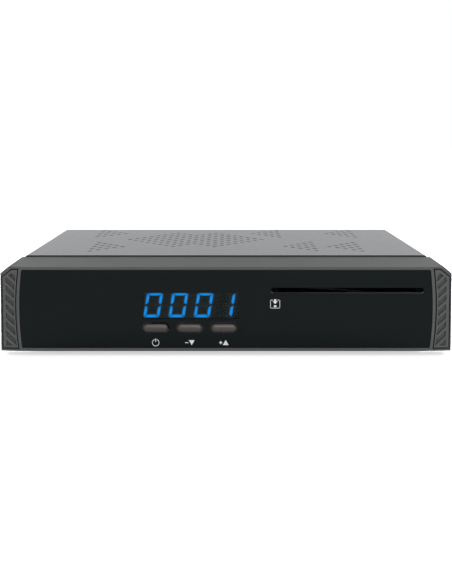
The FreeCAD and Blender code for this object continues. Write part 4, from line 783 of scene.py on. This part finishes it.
signs += [stroke(card_x, card_z - 1.6 * mm, 3.5 * mm, line),
          stroke(card_x, card_z - 0.85 * mm, 1.0 * mm, 0.8 * mm),
          arrow(card_x, card_z + 0.55 * mm, 2.0 * mm, 1.1 * mm, False),
          stroke(card_x, card_z + 1.55 * mm, 0.9 * mm, 0.8 * mm)]
settle(together(signs), "printed_signs", "white_plastic", finish=finishes["white_ink"])

# %% [markdown]
# ## Cover
# The cover is one sheet of steel, 0.8 mm thick: a top, two side walls and a short lip folded
# down at the rear. A flat plane is extruded edge by edge as the sheet is folded, the folds are
# bevelled to the bend radius, and Solidify gives the sheet its thickness. Last come the holes.

# %% Fold the sheet
sheet = 0.8 * mm
cover_low, cover_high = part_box("top_cover")
relief = 1.5 * mm
bpy.ops.mesh.primitive_plane_add(size=2, location=(0, (cover_low.y + cover_high.y) / 2, cover_high.z))
cover = bpy.context.object
bpy.ops.transform.resize(value=(cover_high.x, (cover_high.y - cover_low.y) / 2, 1))
bpy.ops.object.transform_apply(location=True, rotation=True, scale=True)
for point, normal in (((cover_high.x - relief, 0, 0), (1, 0, 0)), ((relief - cover_high.x, 0, 0), (1, 0, 0)),
                      ((0, cover_high.y - relief, 0), (0, 1, 0))):
    choose(cover, "FACE", lambda c: True)
    bpy.ops.mesh.bisect(plane_co=point, plane_no=normal)
only(cover)
choose(cover, "FACE", lambda c: abs(sum(p.x for p in c)) / len(c) > cover_high.x - relief
       and sum(p.y for p in c) / len(c) > cover_high.y - relief)
bpy.ops.mesh.delete(type="FACE")
choose(cover, "EDGE", lambda c: level(c, 1, cover_high.y))
bpy.ops.mesh.extrude_region_move(TRANSFORM_OT_translate={"value": (0, 0, -7 * mm)})
choose(cover, "EDGE", lambda c: level(c, 0, cover_high.x) or level(c, 0, -cover_high.x))
bpy.ops.mesh.extrude_region_move(TRANSFORM_OT_translate={"value": (0, 0, cover_low.z - cover_high.z)})
only(cover)
print("folded faces", len(cover.data.polygons))

# %% Bend radius and thickness
choose(cover, "EDGE", lambda c: level(c, 2, cover_high.z) and (
    level(c, 0, cover_high.x) or level(c, 0, -cover_high.x) or level(c, 1, cover_high.y)))
bpy.ops.mesh.bevel(offset=1.0 * mm, segments=5, affect="EDGES")
choose(cover, "FACE", lambda c: True)
bpy.ops.mesh.normals_make_consistent(inside=False)
apply(cover, "SOLIDIFY", thickness=sheet, offset=-1)
low = [min(v.co[i] for v in cover.data.vertices) / mm for i in range(3)]
high = [max(v.co[i] for v in cover.data.vertices) / mm for i in range(3)]
print("cover from", [round(v, 2) for v in low], "to", [round(v, 2) for v in high])

# %% [markdown]
# The vent holes are punched on a lattice whose neighbours lie cornerwise. Two overlapping
# diamonds lie over the middle of the board and six triangular fans round them, and two small
# dimples mark the spot welds of the side walls. All punches are joined to one tool, so that the
# sheet is cut once. The walls of the holes are painted near black: painted shade for the
# shadow inside the holes.

# %% Places of the vent holes
step_x, step_y = 3.05 * mm, 4.23 * mm


def fan(tip_x, tip_y, side):
    """Triangle of holes that narrows to one hole at its tip."""
    return [(tip_x - side * column * step_x, cover_low.y + tip_y + (2 * row - column) * step_y)
            for column in range(5) for row in range(column + 1)]


lattice = {(i + j - 7 + 2 * shift - 3, i - j) for shift in (0, 3) for i in range(8) for j in range(8)}
vents = [(-14.1 * mm + a * step_x, cover_low.y + 62.6 * mm + b * step_y) for a, b in sorted(lattice)]
for side in (-1, 1):
    vents += fan(side * 45.2 * mm, 32 * mm, -side) + fan(side * 49.3 * mm, 90 * mm, -side)
vents += fan(26 * mm, 33.5 * mm, -1) + fan(13.2 * mm, 90 * mm, -1)
print("vent holes", len(vents))

# %% Punch the holes
vent_radius, dimple_radius, screw_hole_radius, through = 1.15 * mm, 0.5 * mm, 1.6 * mm, 4 * mm
dimple_x, dimple_y = 73.5 * mm, 23.3 * mm
screw_z, side_y = 12.6 * mm, (-36.6 * mm, 38.3 * mm)
rear_x, rear_z = 69.8 * mm, 35.4 * mm
quarter = math.pi / 2


def punch_along(turn, radius, length, place, sides):
    """Round punch that stands along Z and is then turned."""
    bpy.ops.mesh.primitive_cylinder_add(vertices=sides, radius=radius, depth=length, location=place,
                                        rotation=turn)
    bpy.ops.object.transform_apply(location=True, rotation=True, scale=True)
    return bpy.context.object


master = punch_along((0, 0, 0), vent_radius, through, (0, 0, cover_high.z), 20)
punches = [copy_of(master, Matrix.Translation((x, y, 0))) for x, y in vents]
for side in (-1, 1):
    place = (side * dimple_x, dimple_y, cover_high.z)
    punches.append(punch_along((0, 0, 0), dimple_radius, 0.6 * mm, place, 16))
for y in side_y:
    for side in (-1, 1):
        place = (side * cover_high.x, y, screw_z)
        punches.append(punch_along((0, quarter, 0), screw_hole_radius, through, place, 24))
for side in (-1, 1):
    place = (side * rear_x, cover_high.y, rear_z)
    punches.append(punch_along((quarter, 0, 0), screw_hole_radius, through, place, 24))
bpy.data.objects.remove(master)
combine(cover, together(punches), "DIFFERENCE")
soften(cover, 0.07 * mm, 2, 40)
settle(cover, "folded_cover", "cover_paint", "top_cover")
# The hole walls get a near black finish: painted shade inside the vent holes.
paint(cover, "painted_hole_shade", lambda c, n: abs(n.z) < 0.5 and all(
    38.4 * mm < p.z < 39.25 * mm and abs(p.x) < 79 * mm and abs(p.y) < 54 * mm for p in c))
# The front cut edge of the cover takes a darker grey.
paint(cover, "cut_edge", lambda c, n: n.y < -0.3 and all(p.y < cover_low.y + 0.1 * mm for p in c))
print("faces by finish", [sum(f.material_index == i for f in cover.data.polygons) for i in range(3)])

# %% [markdown]
# ## Turned pieces
# Feet, barrels, rings, screws and pins are round bodies. On a lathe a profile is cut along a
# turning rod; here one point is extruded along the profile and spun about Z.

# %% Lathe helpers
def facing(axis):
    """Rotation that turns Z to an axis."""
    return Vector((0, 0, 1)).rotation_difference(Vector(axis)).to_matrix().to_4x4()


def lathe(profile, foot, axis, steps=48):
    """Turned body from (radius, height) points in millimetres, standing on foot along an axis."""
    bpy.ops.mesh.primitive_plane_add(size=1 * mm)
    piece = bpy.context.object
    bpy.context.tool_settings.mesh_select_mode = (True, False, False)
    bpy.ops.object.mode_set(mode="EDIT")
    bpy.ops.mesh.select_all(action="SELECT")
    bpy.ops.mesh.merge(type="CENTER")
    bpy.ops.transform.translate(value=(profile[0][0] * mm, 0, profile[0][1] * mm))
    for (r0, h0), (r1, h1) in zip(profile, profile[1:]):
        step = ((r1 - r0) * mm, 0, (h1 - h0) * mm)
        bpy.ops.mesh.extrude_vertices_move(TRANSFORM_OT_translate={"value": step})
    bpy.ops.mesh.select_all(action="SELECT")
    bpy.ops.mesh.spin(steps=steps, angle=2 * math.pi, center=(0, 0, 0), axis=(0, 0, 1))
    bpy.ops.mesh.select_all(action="SELECT")
    bpy.ops.mesh.remove_doubles(threshold=0.0005 * mm)
    bpy.ops.mesh.normals_make_consistent(inside=False)
    only(piece)
    bpy.ops.object.shade_smooth_by_angle(angle=math.radians(35))
    piece.data.transform(Matrix.Translation(foot) @ facing(axis))
    return piece


def middle(node):
    """Middle of a node's box."""
    low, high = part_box(node)
    return (low + high) / 2


print("lathe ready")

# %% [markdown]
# ## Feet
# Each rubber foot has a rounded tread, a hollow under it and a slightly flared skirt.

# %% Rubber feet
foot_profile = [(0, 0.8), (2.8, 0.8), (3.0, 0.7), (3.15, 0.15), (3.3, 0), (4.9, 0), (5.2, 0.06), (5.45, 0.26),
                (5.6, 0.6), (6.3, 2.5), (6.45, 2.75), (6.5, 3.0), (0, 3.0)]
for name in ("front_left", "front_right", "rear_left", "rear_right"):
    place = middle(name + "_foot")
    foot = lathe(foot_profile, (place.x, place.y, 0), (0, 0, 1))
    settle(foot, name + "_rubber_foot", "foot_rubber", name + "_foot")

# %% [markdown]
# ## Screws
# A pan head with a cross recess, and a thread of rings under it. The head's dome is part of the
# profile; the recess is cut by two crossed wedges that narrow downwards.

# %% One screw, copied to every place
dome = [(2.7 * math.cos(a), 0.5 + 1.2 * math.sin(a)) for a in (math.pi / 2 * i / 6 for i in range(7))]
threads = [(r, -0.5 - 0.5 * i - step) for i in range(8)
           for r, step in ((1.15, 0.0), (1.4, 0.2), (1.4, 0.28), (1.15, 0.48))]
screw = lathe([(0, 1.7)] + dome[::-1][1:] + [(2.7, 0), (1.15, 0)] + threads + [(0.8, -5.0), (0, -5.0)],
              (0, 0, 0), (0, 0, 1), 32)
for turn in (0, math.pi / 2):
    wedge = block((-1.5 * mm, -0.35 * mm, 0.5 * mm), (1.5 * mm, 0.35 * mm, 2.2 * mm))
    choose(wedge, "VERT", lambda c: c[0].z < 1 * mm)
    bpy.ops.transform.resize(value=(0.35, 0.6, 1), center_override=(0, 0, 0))
    only(wedge)
    wedge.data.transform(Matrix.Rotation(turn, 4, "Z"))
    combine(screw, wedge, "DIFFERENCE")
only(screw)
bpy.ops.object.shade_smooth_by_angle(angle=math.radians(35))

screw_places = [((side * cover_high.x, y, screw_z), (side, 0, 0)) for side in (-1, 1) for y in side_y]
screw_places += [((side * rear_x, cover_high.y, rear_z), (0, 1, 0)) for side in (-1, 1)]
screws = [copy_of(screw, Matrix.Translation(place) @ facing(out)) for place, out in screw_places]
settle(together(screws), "cover_pan_screws", "screw_steel", "cover_screws")
bpy.data.objects.remove(screw)

# %% [markdown]
# ## Rear sockets
# The aerial connectors are turned brass with a nickel plate. Their thread has 32 turns to the
# inch, 0.79 mm apart, and a hexagon nut on a washer holds them to the wall.

# %% Aerial connectors
pitch = 0.79
thread = [(r, 58.25 + pitch * i + step) for i in range(8) for r, step in
          ((4.45, 0.0), (4.76, 0.25), (4.76, 0.4), (4.45, 0.65))]
barrel_profile = [(3.46, 53.6), (5.85, 53.6), (6.0, 53.75), (6.0, 54.6), (4.51, 54.6), (4.51, 58.1)] + thread
barrel_profile += [(4.7, 64.9), (4.45, 65.3), (3.65, 65.3), (3.46, 65.05), (3.46, 53.6)]
core_profile = [(0, 53.6), (3.45, 53.6), (3.45, 64.1), (1.7, 64.1), (0.6, 63.4), (0.6, 55.4), (0, 55.4)]
washer_profile = [(4.81, 55.4), (6.1, 55.4), (6.2, 55.5), (6.2, 55.8), (6.1, 55.9), (4.9, 55.9),
                  (4.81, 55.8), (4.81, 55.4)]
aerials = {name: middle(name + "_connector") for name in ("loop", "lnb")}
along = (0, 1, 0)


def turned(name, slot, node, profile, places):
    """Settle copies of a turned shape that stand along Y in front of the rear wall."""
    made = [lathe(profile, (place.x, 0, place.z), along) for place in places]
    settle(together(made) if len(made) > 1 else made[0], name, slot, node)


for name, place in aerials.items():
    turned(name + "_barrel", "nickel", name + "_connector", barrel_profile, [place])
turned("aerial_cores", "white_plastic", "connector_cores", core_profile, aerials.values())
turned("aerial_washers", "nickel", "connector_washers", washer_profile, aerials.values())

# %% Hexagon nuts
nuts = []
for place in aerials.values():
    bpy.ops.mesh.primitive_cylinder_add(vertices=6, radius=5.5 * mm / math.cos(math.pi / 6), depth=2.2 * mm,
                                        location=(place.x, 57.0 * mm, place.z), rotation=(math.pi / 2, 0, 0))
    bpy.ops.object.transform_apply(location=True, rotation=True, scale=True)
    nut = bpy.context.object
    drum = [(0, 55.9), (5.75, 55.9), (6.36, 56.25), (6.36, 57.75), (5.75, 58.1), (0, 58.1)]
    combine(nut, lathe(drum, (place.x, 0, place.z), along), "INTERSECT")
    bore = [(0, 55), (4.56, 55), (4.56, 59), (0, 59)]
    combine(nut, lathe(bore, (place.x, 0, place.z), along), "DIFFERENCE")
    soften(nut, 0.06 * mm, 2)
    nuts.append(nut)
settle(together(nuts), "aerial_nuts", "nickel", "connector_nuts")

# %% [markdown]
# The digital sound socket is a rolled ring over a white core, and the power inlet a moulded
# barrel round a pin. Their bodies and the pressed shells of the other sockets keep their shape
# and get rounded edges.

# %% Sound socket, power pin and socket bodies
ring_profile = [(3.55, 54.6), (3.9, 54.6), (3.9, 56.0), (4.1, 56.0), (4.15, 56.1), (4.15, 63.7),
                (4.07, 63.92), (3.85, 64.0), (3.63, 63.92), (3.55, 63.7), (3.55, 54.6)]
sound_profile = [(0, 54.6), (3.54, 54.6), (3.54, 63.4), (2.4, 63.4), (1.8, 63.1), (1.6, 62.6), (1.6, 55.2),
                 (0, 55.2)]
pin_profile = [(0, 44.6), (1.0, 44.6), (1.0, 54.0), (0.92, 54.3), (0.6, 54.55), (0, 54.6)]
sound = middle("phono_ring")
turned("sound_ring", "nickel", "phono_ring", ring_profile, [sound])
turned("sound_core", "white_plastic", "phono_core", sound_profile, [sound])
turned("inlet_pin", "nickel", "power_inlet_pin", pin_profile, [middle("power_inlet_pin")])
bodies = {"phono_socket": ("black_plastic", 0.15), "power_inlet": ("black_plastic", 0.15),
          "usb_shell": ("tinned_sheet", 0.08), "hdmi_shell": ("tinned_sheet", 0.08),
          "scart_shell": ("tinned_sheet", 0.1), "usb_core": ("black_plastic", 0.08),
          "hdmi_core": ("black_plastic", 0.08), "scart_core": ("black_plastic", 0.1)}
for node, (slot, width) in bodies.items():
    settle(refined(node, width * mm, 2), node + "_moulded", slot, node)
